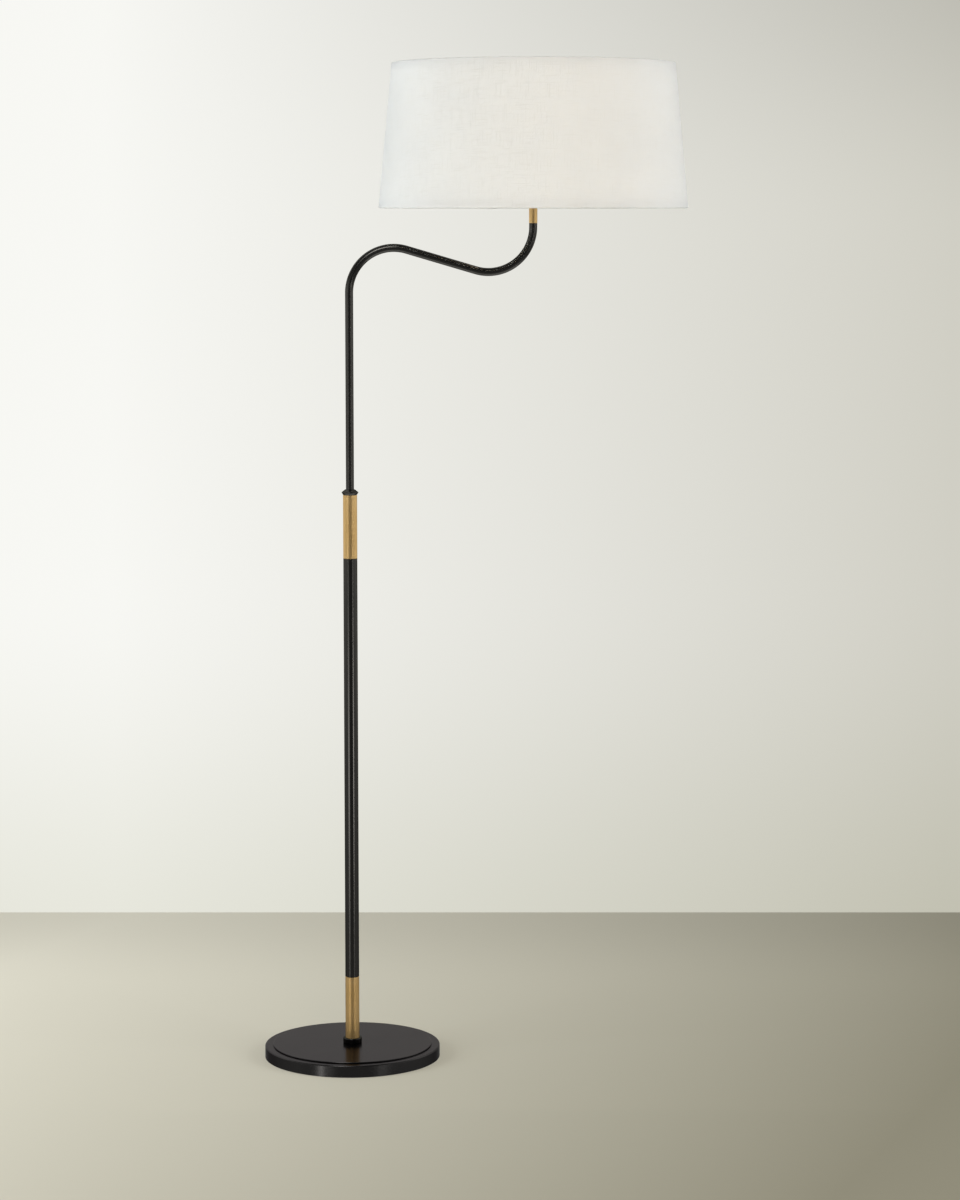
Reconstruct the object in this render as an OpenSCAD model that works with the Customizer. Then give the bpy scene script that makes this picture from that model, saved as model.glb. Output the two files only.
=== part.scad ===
// Adjustable floor lamp: a weighted round base, a stem of black tube and brass sleeves,
// a bent arm tube that slides and turns in the stem, and a tapered drum shade on a harp.
// Millimetres. The stem stands on the Z axis, the floor is z = 0 and the arm reaches along +X.

/* [Base] */
// Diameter of the base
base_d = 280; // [240:5:320]
// Height of the ledge above the floor
base_h = 20; // [18:0.5:26]
// Width of the ledge round the raised disc
ledge_w = 13; // [8:0.5:25]
// Height of the raised disc above the ledge
step_h = 2; // [1:0.25:4]
// Rounding of the cover's outer edge
cover_edge_r = 2; // [1.8:0.1:4]
// Sheet thickness of the spun cover
cover_wall = 1.5; // [1:0.1:1.7]
// Thickness of the felt pad
pad_t = 3; // [2:0.25:4]
// How far the pad stands below the cover's edge
pad_show = 1; // [0.5:0.25:1.75]
// Depth of the nut pocket under the weight
pocket_h = 10; // [9:0.5:12]
// Diameter of the nut pocket
pocket_d = 48; // [36:2:70]

/* [Cord outlet] */
// Diameter of the hole that the cord passes
outlet_bore_d = 6.5; // [5:0.25:7.5]
// Outer diameter of the bushing's barrel
outlet_barrel_d = 9; // [8.6:0.2:10]
// Diameter of the bushing's flange
outlet_flange_d = 12; // [11.4:0.2:14]
// Thickness of the bushing's flange
outlet_flange_t = 1.5; // [1.2:0.1:2.5]
// Length of the bushing's barrel, inside the cover
outlet_barrel_l = 7; // [5.5:0.5:10]

/* [Stem] */
// Outer diameter of the stem
stem_d = 22.2; // [21.6:0.1:25.4]
// Wall of the sleeves and of the black tube
stem_wall = 1.2; // [0.8:0.1:1.4]
// Length of the lower brass sleeve above the foot collar
lower_sleeve_l = 99.5; // [60:0.5:140]
// Length of the black tube
stem_tube_l = 673; // [560:1:800]
// Length of the upper brass sleeve
upper_sleeve_l = 100.5; // [60:0.5:140]
// Wall of the steel liner inside the stem
liner_wall = 1.5; // [1:0.1:1.6]
// Bevel on the ends of the tubes and sleeves
tube_edge = 0.35; // [0.2:0.05:0.6]
// Outer diameter of the foot collar
foot_collar_d = 30; // [27:0.5:36]
// Height of the foot collar
foot_collar_h = 8.5; // [6:0.5:14]
// Thickness of the foot collar's floor
foot_collar_floor = 3; // [2:0.25:4]
// Length of the threaded plug in the foot of the liner
foot_plug_l = 20; // [15:1:30]
// Outer diameter of the base's threaded nipple
base_nipple_d = 9.8; // [9:0.1:10.4]

/* [Height lock] */
// Length of the guide bush inside the liner
guide_spigot_l = 30; // [20:1:50]
// Length of the guide bush's head inside the upper sleeve
guide_head_l = 13.5; // [8:0.5:25]
// Height of the threaded boss that carries the lock collar
boss_h = 5.3; // [4.5:0.1:7]
// Wall of the collet at its thick end
collet_wall = 1.9; // [1.6:0.05:2]
// Height of the collet
collet_h = 10.4; // [9:0.1:13]
// Width of each slot in the collet
collet_slot = 0.8; // [0.5:0.1:1.5]
// How far the lock collar stands out past the stem
lock_collar_lip = 2.1; // [1.5:0.1:3.5]
// Height of the lock collar
lock_collar_h = 8.2; // [8:0.1:11]
// Length of the slider bush at the arm tube's lower end
slider_l = 30; // [20:1:50]
// How far the arm lifts from the height that is drawn
lift_up = 100; // [40:5:160]

/* [Arm] */
// Outer diameter of the arm tube
arm_d = 12.7; // [11.4:0.1:13]
// Wall of the arm tube
arm_wall = 1.2; // [1:0.1:1.3]
// Straight rise from the lock collar to the first bend
arm_rise = 308; // [305:1:420]
// Radius of both bends, at the tube's centreline
bend_r = 70; // [50:1:85]
// Downward slope of the run between the bends, in degrees
droop = 16.4; // [8:0.2:22]
// Distance from the stem to the shade's axis
reach = 287.5; // [270:2.5:380]
// Straight end above the second bend
arm_end_l = 5.8; // [5.5:0.1:14]
// Diameter of the brass ferrule at the neck
neck_d = 13; // [12.7:0.1:16]
// Length of the brass ferrule
neck_l = 26; // [18:1:40]
// Outer diameter of the threaded nipple in the neck
neck_nipple_d = 9.8; // [9:0.1:9.9]

/* [Harp] */
// Height of the harp above the saddle
harp_h = 200; // [180:1:240]
// Widest width of the harp
harp_w = 116; // [104:2:140]
// Diameter of the harp's wire
harp_wire_d = 3.2; // [2.6:0.1:3.6]
// Distance between the saddle's ears
ear_gap = 58; // [50:1:72]
// Height of the saddle's ears
ear_h = 13; // [11:0.5:16]
// Thickness of the saddle's strip
saddle_t = 1.5; // [1:0.1:2]
// Width of the saddle's strip
saddle_w = 12; // [11:0.5:18]
// Height of the sleeves that lock the harp to the saddle
lock_sleeve_h = 12; // [8:0.5:14]
// How far a lock sleeve lifts to free the harp
lock_sleeve_lift = 10; // [4:1:12]
// Diameter of the hub at the harp's top
hub_d = 13; // [11:0.5:16]
// Height of that hub
hub_h = 5; // [4.4:0.2:7]
// Height of the finial
finial_h = 15; // [13:0.5:16.5]

/* [Socket and bulb] */
// Outer diameter of the socket's shell
socket_d = 33; // [32.4:0.2:36]
// Height of the socket's shell, from its foot in the cap
socket_shell_h = 44; // [40:1:56]
// Length of the switch knob
knob_l = 15; // [11:0.5:22]
// Diameter of the switch knob
knob_d = 13; // [9:0.5:16]
// Diameter of the switch shaft
switch_shaft_d = 4; // [3:0.2:5]
// Number of flutes round the switch knob
knob_flutes = 12; // [8:1:16]
// Largest diameter of the bulb
bulb_d = 60; // [50:1:66]
// Length of the bulb's glass
bulb_glass_l = 84; // [76:1:100]

/* [Shade] */
// Diameter of the shade at its top edge
shade_top_d = 440; // [380:5:480]
// Diameter of the shade at its bottom edge
shade_bottom_d = 482; // [440:5:560]
// Height of the shade
shade_h = 223; // [180:1:230]
// Depth of the spider's washer below the top edge
spider_drop = 17.5; // [17:0.5:40]
// Thickness of the linen
linen_t = 0.5; // [0.3:0.05:0.8]
// Thickness of the stiff backing
backing_t = 0.6; // [0.4:0.05:1]
// Diameter of the wire in the rings and spider arms
ring_wire_d = 3; // [2.4:0.1:3.6]
// Height of the turned hems at both edges
hem_h = 11; // [9:0.5:20]
// Outer diameter of the spider's washer
washer_d = 32; // [26:1:44]
// Thickness of the spider's washer
washer_t = 1.5; // [1:0.1:2.5]

/* [Hidden] */
$fn = 96;

// Clearances, on the radius: a turning or sliding fit, an assembled fit, and glued layers
run_gap = 0.1;
fit_gap = 0.05;
glue_gap = 0.05;
// Where two pieces of one body seat end to end
seat_gap = 0.02;
// Gap between parts that must not rub
free_gap = 0.3;
// How far a run of tube reaches into a bend, and how much the bend's wall stands out round it
lap = 0.3;
bend_swell = 0.02;
// How far a cutter reaches past what it cuts, and the length of one that cuts right through
cut = 1;
big = 2000;
// Bevel on washers, rings and short sleeves
small_edge = 0.2;

// Base
base_r = base_d / 2;
disc_r = base_r - ledge_w;
foot_z = base_h + step_h;
disc_edge_r = 0.8;
weight_gap = 1;
pocket_z = pad_t + pocket_h;
outlet_z = pad_t + outlet_flange_d / 2;
outlet_lip_r = 1;
outlet_edge_r = 0.8;
// The barrel's ridge snaps behind the cover's wall, a little way in
outlet_snap = 0.4;
outlet_snap_in = 0.8;
outlet_snap_l = 1;
outlet_taper = 0.4;
channel_w = outlet_barrel_d + 2;
lock_washer_d = 18;
lock_washer_t = 1.2;
base_nut_w = 15;
base_nut_t = 6;

// Stem
stem_id = stem_d - 2 * stem_wall;
liner_d = stem_id - 2 * run_gap;
liner_id = liner_d - 2 * liner_wall;
seat_z = foot_z + foot_collar_floor;
lower_top_z = foot_z + foot_collar_h + lower_sleeve_l;
tube_top_z = lower_top_z + stem_tube_l;
stem_top_z = tube_top_z + upper_sleeve_l;
foot_collar_toe_r = 1.5;
foot_collar_top_r = 0.9;
nipple_wall = 1.6;
// How far the base's nipple stands off the pad, and how far it screws into the foot plug
nipple_foot = 1;
nipple_grip = 14;

// Height lock
liner_top_z = stem_top_z - guide_head_l;
guide_bottom_z = liner_top_z - guide_spigot_l;
boss_top_z = stem_top_z + boss_h;
boss_step = 1.6;
boss_r = stem_d / 2 - boss_step;
guide_bore_r = arm_d / 2 + run_gap;
collet_bore_r = arm_d / 2 + fit_gap;
collet_foot_wall = 0.5;
collet_nose_h = 1.6;
collet_top_z = boss_top_z + collet_nose_h;
collet_foot_z = collet_top_z - collet_h;
collet_shoulder = 0.9;
collet_ring_h = 2;
lock_collar_z = stem_top_z + free_gap;
lock_collar_r = stem_d / 2 + lock_collar_lip;
lock_collar_top_z = lock_collar_z + lock_collar_h;
// The lock collar flares from its foot to a round belly, then slopes in to a round crown
lock_foot_in = 2.1;
lock_belly_h = 3.4;
lock_belly_r = 1.2;
lock_crown_out = 1.3;
lock_crown_r = 0.6;
stop_gap = 1;
stop_ring_t = 1.5;
stop_ring_z = guide_bottom_z - lift_up - stop_gap - stop_ring_t;
slider_top_z = stop_ring_z - 2 * run_gap;
slider_z = slider_top_z - slider_l;
tail_z = slider_z - 2 * run_gap;
slider_relief = 0.5;
end_bush_wall = 1.6;
end_bush_in = 10;
end_bush_flange_t = 2;
end_bush_lip_r = 1.4;

// Arm
arm_id = arm_d - 2 * arm_wall;
bend_z = lock_collar_top_z + arm_rise;
bend_turn = 90 + droop;
run_l = (reach - 2 * bend_r * (1 + sin(droop))) / cos(droop);
arm_end_z = round(100 * (bend_z + 2 * bend_r * cos(droop) - run_l * sin(droop) + arm_end_l)) / 100;

// Neck, harp and socket, above the saddle's top face
saddle_z = arm_end_z + neck_l;
carry_z = saddle_z + saddle_t;
ear_t = 1.5;
ear_w = 4;
foot_x = ear_gap / 2 + ear_t + run_gap + harp_wire_d / 2;
sleeve_x = (ear_gap / 2 + foot_x + harp_wire_d / 2) / 2;
sleeve_room = 0.9;
sleeve_bore_r = (foot_x + harp_wire_d / 2 - ear_gap / 2) / 2 + sleeve_room;
sleeve_wall = 0.8;
saddle_margin = 0.6;
saddle_l = 2 * (sleeve_x + sleeve_bore_r + sleeve_wall + saddle_margin);
leg_spare = 2;
leg_l = lock_sleeve_h + lock_sleeve_lift + leg_spare;
foot_bend_r = 20;
top_bend_r = 48;
top_bend_x = (harp_w - harp_wire_d) / 2 - top_bend_r;
harp_wire_top = harp_h - hub_h / 2;
bends_apart = [top_bend_x - foot_x - foot_bend_r, harp_wire_top - top_bend_r - leg_l];
lean = atan2(bends_apart.x, bends_apart.y)
  + asin((foot_bend_r + top_bend_r) / norm(bends_apart));
flank_l = sqrt(pow(norm(bends_apart), 2) - pow(foot_bend_r + top_bend_r, 2));
stud_r = 3.1;
stud_h = 8;
stud_edge = 0.5;
// Gap between the stud and the harp's wire inside the hub, and the hub's bevel
hub_wire_gap = 1;
hub_edge = 0.5;
stud_head_r = 4.6;
stud_head_t = 1.2;

cap_wall = 0.8;
cap_neck_r = 9;
cap_foot_r = 1.5;
cap_r = socket_d / 2 + fit_gap + cap_wall;
cap_dome_r = 4;
cap_floor_z = 2 * cap_dome_r;
cap_top_z = 17.5;
shell_z = cap_floor_z + cap_dome_r;
shell_wall = 0.5;
shell_top_z = shell_z + socket_shell_h;
shell_bead_r = 0.9;
shell_bead_turn = 20;
liner_paper_t = 0.6;
liner_paper_edge = 0.1;
liner_paper_down = 1;
locknut_w = 13;
locknut_t = 3.5;
nipple_proud = 0.7;
block_z = cap_floor_z + cap_wall + fit_gap;
block_top_z = 31;
block_r = socket_d / 2 - shell_wall - liner_paper_t - 3 * fit_gap;
screw_r = 13.3;
screw_wall = 0.4;
screw_h = 21;
screw_hole_r = 6;
contact_r = 3.6;
contact_h = 2.5;
contact_edge_r = 1.4;
knob_z = 21.5;
knob_gap = 2;
knob_y = cap_r + knob_gap;
knob_foot_h = 2.5;
knob_foot_edge = 1;
knob_taper = 0.5;
knob_edge_r = 1.5;
knob_end_t = 3;
knob_flute_r = 1.1;
knob_flute_out = 0.4;
shaft_grip = 10;
shaft_end_gap = 0.5;
shaft_room = 1;
shaft_hole_r = switch_shaft_d / 2 + shaft_room;

bulb_z = block_top_z + contact_h + fit_gap;
bulb_base_r = 13;
bulb_tip_r = 4.5;
bulb_tip_h = 0.6;
bulb_insulator_h = 3;
bulb_insulator_rim = 2;
bulb_insulator_in = 1.5;
bulb_base_h = 22;
bulb_wall = 0.8;
bulb_neck_r = bulb_base_r - screw_wall - fit_gap;
bulb_glass_in = 3;
bulb_neck_z = bulb_z + bulb_insulator_h + bulb_base_h - bulb_glass_in;
bulb_neck_l = 3.4;
bulb_flare_h = 6;
bulb_flare = 1.4;
// The glass is turned up to this angle, and a small disc closes its crown
bulb_crown_turn = 86;
bulb_crown_r = 3;
bulb_crown_drop = 0.25;

// Shade. Its own heights are measured from its bottom edge
hub_z = carry_z + harp_h;
shade_z = hub_z + washer_t + spider_drop - shade_h;
shade_slope = [shade_bottom_d - shade_top_d, -2 * shade_h] / 2;
shade_down = shade_slope / norm(shade_slope);
shade_out = [-shade_down.y, shade_down.x];
backing_in = -linen_t - glue_gap - backing_t;
ring_in = backing_in - glue_gap - ring_wire_d / 2;
ring_edge_gap = 0.4;
ring_down = ring_wire_d / 2 + ring_edge_gap;
hem_t = 0.5;
hem_out = glue_gap + hem_t / 2;
hem_in = ring_in - ring_wire_d / 2 - glue_gap - hem_t / 2;
hem_bend_r = (hem_out - hem_in) / 2;
panel_past_ring = 0.3;
panel_cut = ring_down - panel_past_ring;
arm_angles = [90, 210, 330];
// A spider arm's foot lies this far in from the washer's rim, and beds this deep into it
arm_foot_in = 8;
arm_foot_bed = 0.2;

// Shapes that repeat

function arc(centre, r, from, to, steps = 8) =
  [for (i = [0:steps]) centre + r * [cos(from + (to - from) * i / steps), sin(from + (to - from) * i / steps)]];

function left_of(v) = [-v.y, v.x];
function unit(v) = v / norm(v);

// Direction from point i of a path to its left side, lengthened at corners
function to_left(path, i) =
  let (
    before = i > 0 ? unit(path[i] - path[i - 1]) : unit(path[i + 1] - path[i]),
    after = i < len(path) - 1 ? unit(path[i + 1] - path[i]) : before,
    middle = unit(left_of(before) + left_of(after))
  )
  middle / (middle * left_of(before));

// Closed section of a wall that lies between two distances to the left of a path
function wall_section(path, near, far) = concat(
  [for (i = [0:len(path) - 1]) path[i] + near * to_left(path, i)],
  [for (i = [len(path) - 1:-1:0]) path[i] + far * to_left(path, i)]
);

module lathe(section) rotate_extrude() polygon(section);

// Tube from z0 to z1 with bevelled outer ends
module pipe(r, bore, z0, z1, edge = 0.3)
  lathe([
    [bore, z0], [r - edge, z0], [r, z0 + edge], [r, z1 - edge], [r - edge, z1], [bore, z1]
  ]);

// Hexagonal nut, w across its flats, with its foot at z
module hex_nut(w, t, bore, z)
  translate([0, 0, z]) difference() {
    cylinder(r = w / sqrt(3), h = t, $fn = 6);
    translate([0, 0, -t]) cylinder(r = bore, h = 3 * t);
  }

// Section of a wire or, with a bore, of a tube
module round_section(d, bore)
  difference() {
    circle(d = d, $fn = 48);
    if (bore > 0) circle(d = bore, $fn = 48);
  }

// Straight run of tube along Z, which reaches into the bends before and after it.
// What follows it starts at its far end
module run(l, d, bore = 0, before = lap, after = lap) {
  translate([0, 0, -before]) linear_extrude(l + before + after) round_section(d, bore);
  translate([0, 0, l]) children();
}

// Bend of tube away from Z, towards +X where side is 1 and -X where it is -1.
// Its wall is a hair thicker than a run's, so a run's end fuses inside it
module bend(r, turn, side, d, bore = 0) {
  rotate([0, 0, 90 - 90 * side])
    translate([r, 0, 0])
      rotate([90, 0, 0])
        rotate_extrude(angle = turn, start = 180 - turn)
          translate([r, 0]) round_section(d + 2 * bend_swell, bore - 2 * bend_swell);
  translate([side * r, 0, 0])
    rotate([0, side * turn, 0])
      translate([-side * r, 0, 0])
        children();
}

// Base

module base_pad()
  color("dimgray") cylinder(r = base_r - cover_wall - weight_gap, h = pad_t);

module base_weight()
  color([0.24, 0.24, 0.25]) difference() {
    lathe([
      [base_nipple_d / 2 + run_gap, pad_t],
      [base_r - cover_wall - weight_gap, pad_t],
      [base_r - cover_wall - weight_gap, base_h - cover_wall - weight_gap],
      [disc_r - cover_wall - weight_gap, base_h - cover_wall - weight_gap],
      [disc_r - cover_wall - weight_gap, foot_z - cover_wall],
      [base_nipple_d / 2 + run_gap, foot_z - cover_wall]
    ]);
    translate([0, 0, pad_t - cut]) cylinder(d = pocket_d, h = pocket_h + cut);
    translate([-channel_w / 2, 0, pad_t - cut])
      cube([channel_w, base_d, outlet_z + channel_w / 2 - pad_t + cut]);
  }

module base_cover()
  color([0.1, 0.1, 0.1]) difference() {
    lathe(concat(
      [[base_r, pad_show]],
      arc([base_r - cover_edge_r, base_h - cover_edge_r], cover_edge_r, 0, 90),
      [[disc_r, base_h]],
      arc([disc_r - disc_edge_r, foot_z - disc_edge_r], disc_edge_r, 0, 90, 5),
      [
        [base_nipple_d / 2 + run_gap, foot_z],
        [base_nipple_d / 2 + run_gap, foot_z - cover_wall],
        [disc_r - cover_wall, foot_z - cover_wall],
        [disc_r - cover_wall, base_h - cover_wall]
      ],
      arc(
        [base_r - cover_edge_r, base_h - cover_edge_r],
        cover_edge_r - cover_wall, 90, 0, 4
      ),
      [[base_r - cover_wall, pad_show]]
    ));
    translate([0, base_r, outlet_z]) rotate([90, 0, 0])
      cylinder(d = outlet_barrel_d + 2 * run_gap, h = 3 * cover_wall + 2 * cut, center = true);
  }

// Insulating bushing in the back of the cover, where the cord leaves
module cord_bushing()
  color([0.08, 0.08, 0.08]) translate([0, base_r, outlet_z]) rotate([-90, 0, 0])
    lathe(concat(
      [
        [outlet_bore_d / 2, -outlet_barrel_l],
        [outlet_barrel_d / 2 - outlet_taper, -outlet_barrel_l],
        [outlet_barrel_d / 2 + outlet_snap, -cover_wall - outlet_snap_in - outlet_snap_l],
        [outlet_barrel_d / 2 + outlet_snap, -cover_wall - outlet_snap_in],
        [outlet_barrel_d / 2, -cover_wall - outlet_snap_in],
        [outlet_barrel_d / 2, 0],
        [outlet_flange_d / 2, 0]
      ],
      arc(
        [outlet_flange_d / 2 - outlet_edge_r, outlet_flange_t - outlet_edge_r],
        outlet_edge_r, 0, 90, 4
      ),
      arc([outlet_bore_d / 2 + outlet_lip_r, outlet_flange_t - outlet_lip_r], outlet_lip_r, 90, 180, 5)
    ));

module base_lock_washer()
  color("silver")
    pipe(
      lock_washer_d / 2, base_nipple_d / 2 + run_gap,
      pocket_z - lock_washer_t, pocket_z, small_edge
    );

module base_nut()
  color("silver")
    hex_nut(base_nut_w, base_nut_t, base_nipple_d / 2 + fit_gap, pocket_z - lock_washer_t - base_nut_t);

module base_nipple()
  color("silver")
    pipe(
      base_nipple_d / 2, base_nipple_d / 2 - nipple_wall,
      pad_t + nipple_foot, seat_z + nipple_grip
    );

// Stem

module foot_collar()
  color([0.06, 0.06, 0.06]) lathe(concat(
    [[base_nipple_d / 2 + run_gap, foot_z]],
    arc(
      [foot_collar_d / 2 - foot_collar_toe_r, foot_z + foot_collar_toe_r],
      foot_collar_toe_r, -90, 0, 5
    ),
    arc(
      [foot_collar_d / 2 - foot_collar_top_r, foot_z + foot_collar_h - foot_collar_top_r],
      foot_collar_top_r, 0, 90, 5
    ),
    [
      [stem_d / 2 + run_gap, foot_z + foot_collar_h],
      [stem_d / 2 + run_gap, seat_z],
      [base_nipple_d / 2 + run_gap, seat_z]
    ]
  ));

module foot_plug()
  color("silver")
    pipe(liner_id / 2 - fit_gap, base_nipple_d / 2 + fit_gap, seat_z, seat_z + foot_plug_l);

module stem_liner()
  color("gray") pipe(liner_d / 2, liner_id / 2, seat_z, liner_top_z);

module lower_sleeve()
  color([0.72, 0.55, 0.3]) pipe(stem_d / 2, stem_id / 2, seat_z, lower_top_z, tube_edge);

module stem_tube()
  color([0.08, 0.08, 0.08]) pipe(stem_d / 2, stem_id / 2, lower_top_z, tube_top_z, tube_edge);

module upper_sleeve()
  color([0.72, 0.55, 0.3]) pipe(stem_d / 2, stem_id / 2, tube_top_z, stem_top_z, tube_edge);

// Height lock: the guide bush holds the tube upright and has the collet's cone in its mouth

module guide_bush()
  color("silver") lathe([
    [guide_bore_r, guide_bottom_z],
    [liner_id / 2 - fit_gap, guide_bottom_z],
    [liner_id / 2 - fit_gap, liner_top_z],
    [stem_id / 2 - run_gap, liner_top_z],
    [stem_id / 2 - run_gap, stem_top_z],
    [boss_r, stem_top_z],
    [boss_r, boss_top_z],
    [collet_bore_r + collet_wall + run_gap, boss_top_z],
    [collet_bore_r + collet_foot_wall + run_gap, collet_foot_z],
    [collet_bore_r + collet_foot_wall + run_gap, collet_foot_z - run_gap],
    [guide_bore_r, collet_foot_z - run_gap]
  ]);

// Split cone that grips the arm tube. Its slots leave a whole ring at its foot
module lock_collet()
  color("ivory") difference() {
    lathe([
      [collet_bore_r, collet_foot_z],
      [collet_bore_r + collet_foot_wall, collet_foot_z],
      [collet_bore_r + collet_wall, boss_top_z],
      [collet_bore_r + collet_wall - collet_shoulder, collet_top_z],
      [collet_bore_r, collet_top_z]
    ]);
    for (turn = [0, 90])
      rotate([0, 0, turn])
        translate([-big / 2, -collet_slot / 2, collet_foot_z + collet_ring_h])
          cube([big, collet_slot, collet_h]);
  }

// Nut that draws the collet into its cone, turned by hand
module lock_collar()
  color([0.06, 0.06, 0.06]) lathe(concat(
    [[boss_r + run_gap, lock_collar_z]],
    [[lock_collar_r - lock_foot_in, lock_collar_z]],
    arc(
      [lock_collar_r - lock_belly_r, lock_collar_z + lock_belly_h],
      lock_belly_r, -48, 52, 7
    ),
    arc(
      [arm_d / 2 + lock_crown_out, lock_collar_top_z - lock_crown_r],
      lock_crown_r, 55, 90, 3
    ),
    [
      [arm_d / 2 + free_gap, lock_collar_top_z],
      [arm_d / 2 + free_gap, collet_top_z + free_gap],
      [collet_bore_r + collet_wall - collet_shoulder + run_gap, collet_top_z + free_gap],
      [collet_bore_r + collet_wall + run_gap, boss_top_z + free_gap],
      [boss_r + run_gap, boss_top_z + free_gap]
    ]
  ));

// Lower guide of the arm tube. The tube turns in it, and it slides in the liner
module slider_bush() {
  r = liner_id / 2 - run_gap;
  bore = arm_d / 2 + run_gap;
  land = slider_l / 4;
  waist = r - slider_relief;
  color("ivory") lathe([
    [bore, slider_z],
    [waist, slider_z],
    [r, slider_z + slider_relief],
    [r, slider_z + land],
    [waist, slider_z + land + slider_relief],
    [waist, slider_top_z - land - slider_relief],
    [r, slider_top_z - land],
    [r, slider_top_z - slider_relief],
    [waist, slider_top_z],
    [bore, slider_top_z]
  ]);
}

module slider_stop_ring()
  color("silver")
    pipe(
      liner_id / 2 - free_gap, arm_d / 2 + fit_gap / 2,
      stop_ring_z, stop_ring_z + stop_ring_t, small_edge
    );

// Smooth mouth for the wires at the arm tube's lower end
module tube_end_bush()
  color([0.08, 0.08, 0.08]) lathe(concat(
    [
      [arm_id / 2 - end_bush_wall, tail_z + end_bush_in],
      [arm_id / 2 - end_bush_wall, tail_z - end_bush_flange_t + end_bush_wall]
    ],
    arc(
      [arm_id / 2, tail_z - end_bush_flange_t + end_bush_lip_r],
      end_bush_lip_r, 180, 270, 4
    ),
    [
      [liner_id / 2 - free_gap, tail_z - end_bush_flange_t],
      [liner_id / 2 - free_gap, tail_z],
      [arm_id / 2 - fit_gap, tail_z],
      [arm_id / 2 - fit_gap, tail_z + end_bush_in]
    ]
  ));

// Arm

module arm_tube()
  color([0.08, 0.08, 0.08]) translate([0, 0, tail_z])
    run(bend_z - tail_z, arm_d, arm_id, before = 0)
      bend(bend_r, bend_turn, 1, arm_d, arm_id)
        run(run_l, arm_d, arm_id)
          bend(bend_r, bend_turn, -1, arm_d, arm_id)
            run(arm_end_l - seat_gap, arm_d, arm_id, after = 0);

module at_neck() translate([reach, 0, carry_z]) children();

module neck_ferrule()
  color([0.72, 0.55, 0.3]) at_neck()
    pipe(neck_d / 2, neck_nipple_d / 2 + fit_gap, -saddle_t - neck_l, -saddle_t);

module neck_nipple()
  color("silver") at_neck()
    pipe(
      neck_nipple_d / 2, neck_nipple_d / 2 - nipple_wall,
      -saddle_t - neck_l - arm_end_l + free_gap, cap_wall + locknut_t + nipple_proud
    );

// Harp

module harp_saddle()
  color([0.72, 0.55, 0.3]) at_neck() {
    translate([0, 0, -saddle_t]) linear_extrude(saddle_t) difference() {
      intersection() {
        square([saddle_l, saddle_w], center = true);
        circle(d = saddle_l);
      }
      circle(d = neck_nipple_d + 2 * run_gap);
    }
    for (side = [-1, 1])
      translate([side * (ear_gap + ear_t) / 2 - ear_t / 2, -ear_w / 2, -fit_gap])
        cube([ear_t, ear_w, ear_h + fit_gap]);
  }

module harp_half()
  translate([foot_x, 0, 0])
    run(leg_l, harp_wire_d, before = 0)
      bend(foot_bend_r, lean, 1, harp_wire_d)
        run(flank_l, harp_wire_d)
          bend(top_bend_r, 90 + lean, -1, harp_wire_d)
            run(top_bend_x - stud_r - hub_wire_gap, harp_wire_d, after = 0);

module harp()
  color([0.72, 0.55, 0.3]) at_neck() {
    harp_half();
    mirror([1, 0, 0]) harp_half();
    pipe(hub_d / 2, stud_r + fit_gap, harp_h - hub_h, harp_h, hub_edge);
  }

module harp_stud()
  color([0.72, 0.55, 0.3]) at_neck() lathe([
    [0, harp_h - hub_h - stud_head_t - fit_gap],
    [stud_head_r, harp_h - hub_h - stud_head_t - fit_gap],
    [stud_head_r, harp_h - hub_h - fit_gap],
    [stud_r, harp_h - hub_h - fit_gap],
    [stud_r, harp_h + washer_t + stud_h - stud_edge],
    [stud_r - stud_edge, harp_h + washer_t + stud_h],
    [0, harp_h + washer_t + stud_h]
  ]);

module harp_lock(side)
  color([0.72, 0.55, 0.3]) at_neck() translate([side * sleeve_x, 0, 0])
    pipe(
      sleeve_bore_r + sleeve_wall, sleeve_bore_r,
      fit_gap, fit_gap + lock_sleeve_h, small_edge
    );

module harp_lock_left() harp_lock(-1);
module harp_lock_right() harp_lock(1);

// A foot, a waist and a ball, hollow for the stud
module finial() {
  foot = harp_h + washer_t;
  foot_r = 6;
  foot_t = 1.5;
  waist_r = 4.2;
  waist_z = 2.4;
  waist_top_z = 4.2;
  ball_r = 5;
  ball_down = 4.4;
  ball_z = finial_h - ball_down;
  bore = stud_r + fit_gap;
  bore_top = stud_h + stud_edge;
  color([0.72, 0.55, 0.3]) at_neck() lathe(concat(
    [
      [bore, foot], [foot_r, foot], [foot_r, foot + foot_t],
      [waist_r, foot + waist_z], [waist_r, foot + waist_top_z]
    ],
    arc([0, foot + ball_z], ball_r, -42, 0, 5),
    arc([0, foot + ball_z], ball_r, 10, 60, 5),
    [[0, foot + finial_h], [0, foot + bore_top], [bore, foot + bore_top]]
  ));
}

// Socket, with its foot on the saddle

module socket_cap()
  color([0.72, 0.55, 0.3]) at_neck() lathe(wall_section(concat(
    [[neck_nipple_d / 2 + run_gap, 0]],
    arc([cap_neck_r - cap_foot_r, cap_foot_r], cap_foot_r, -90, 0, 4),
    arc([cap_neck_r + cap_dome_r, cap_dome_r], cap_dome_r, 180, 90, 6),
    arc([cap_r - cap_dome_r, cap_floor_z + cap_dome_r], cap_dome_r, -90, 0, 6),
    [[cap_r, cap_top_z]]
  ), 0, cap_wall));

module socket_locknut()
  color("silver") at_neck()
    hex_nut(locknut_w, locknut_t, neck_nipple_d / 2 + fit_gap, cap_wall);

module shaft_hole(r, from, to)
  translate([0, -from, knob_z]) rotate([90, 0, 0]) cylinder(r = r, h = to - from);

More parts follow.
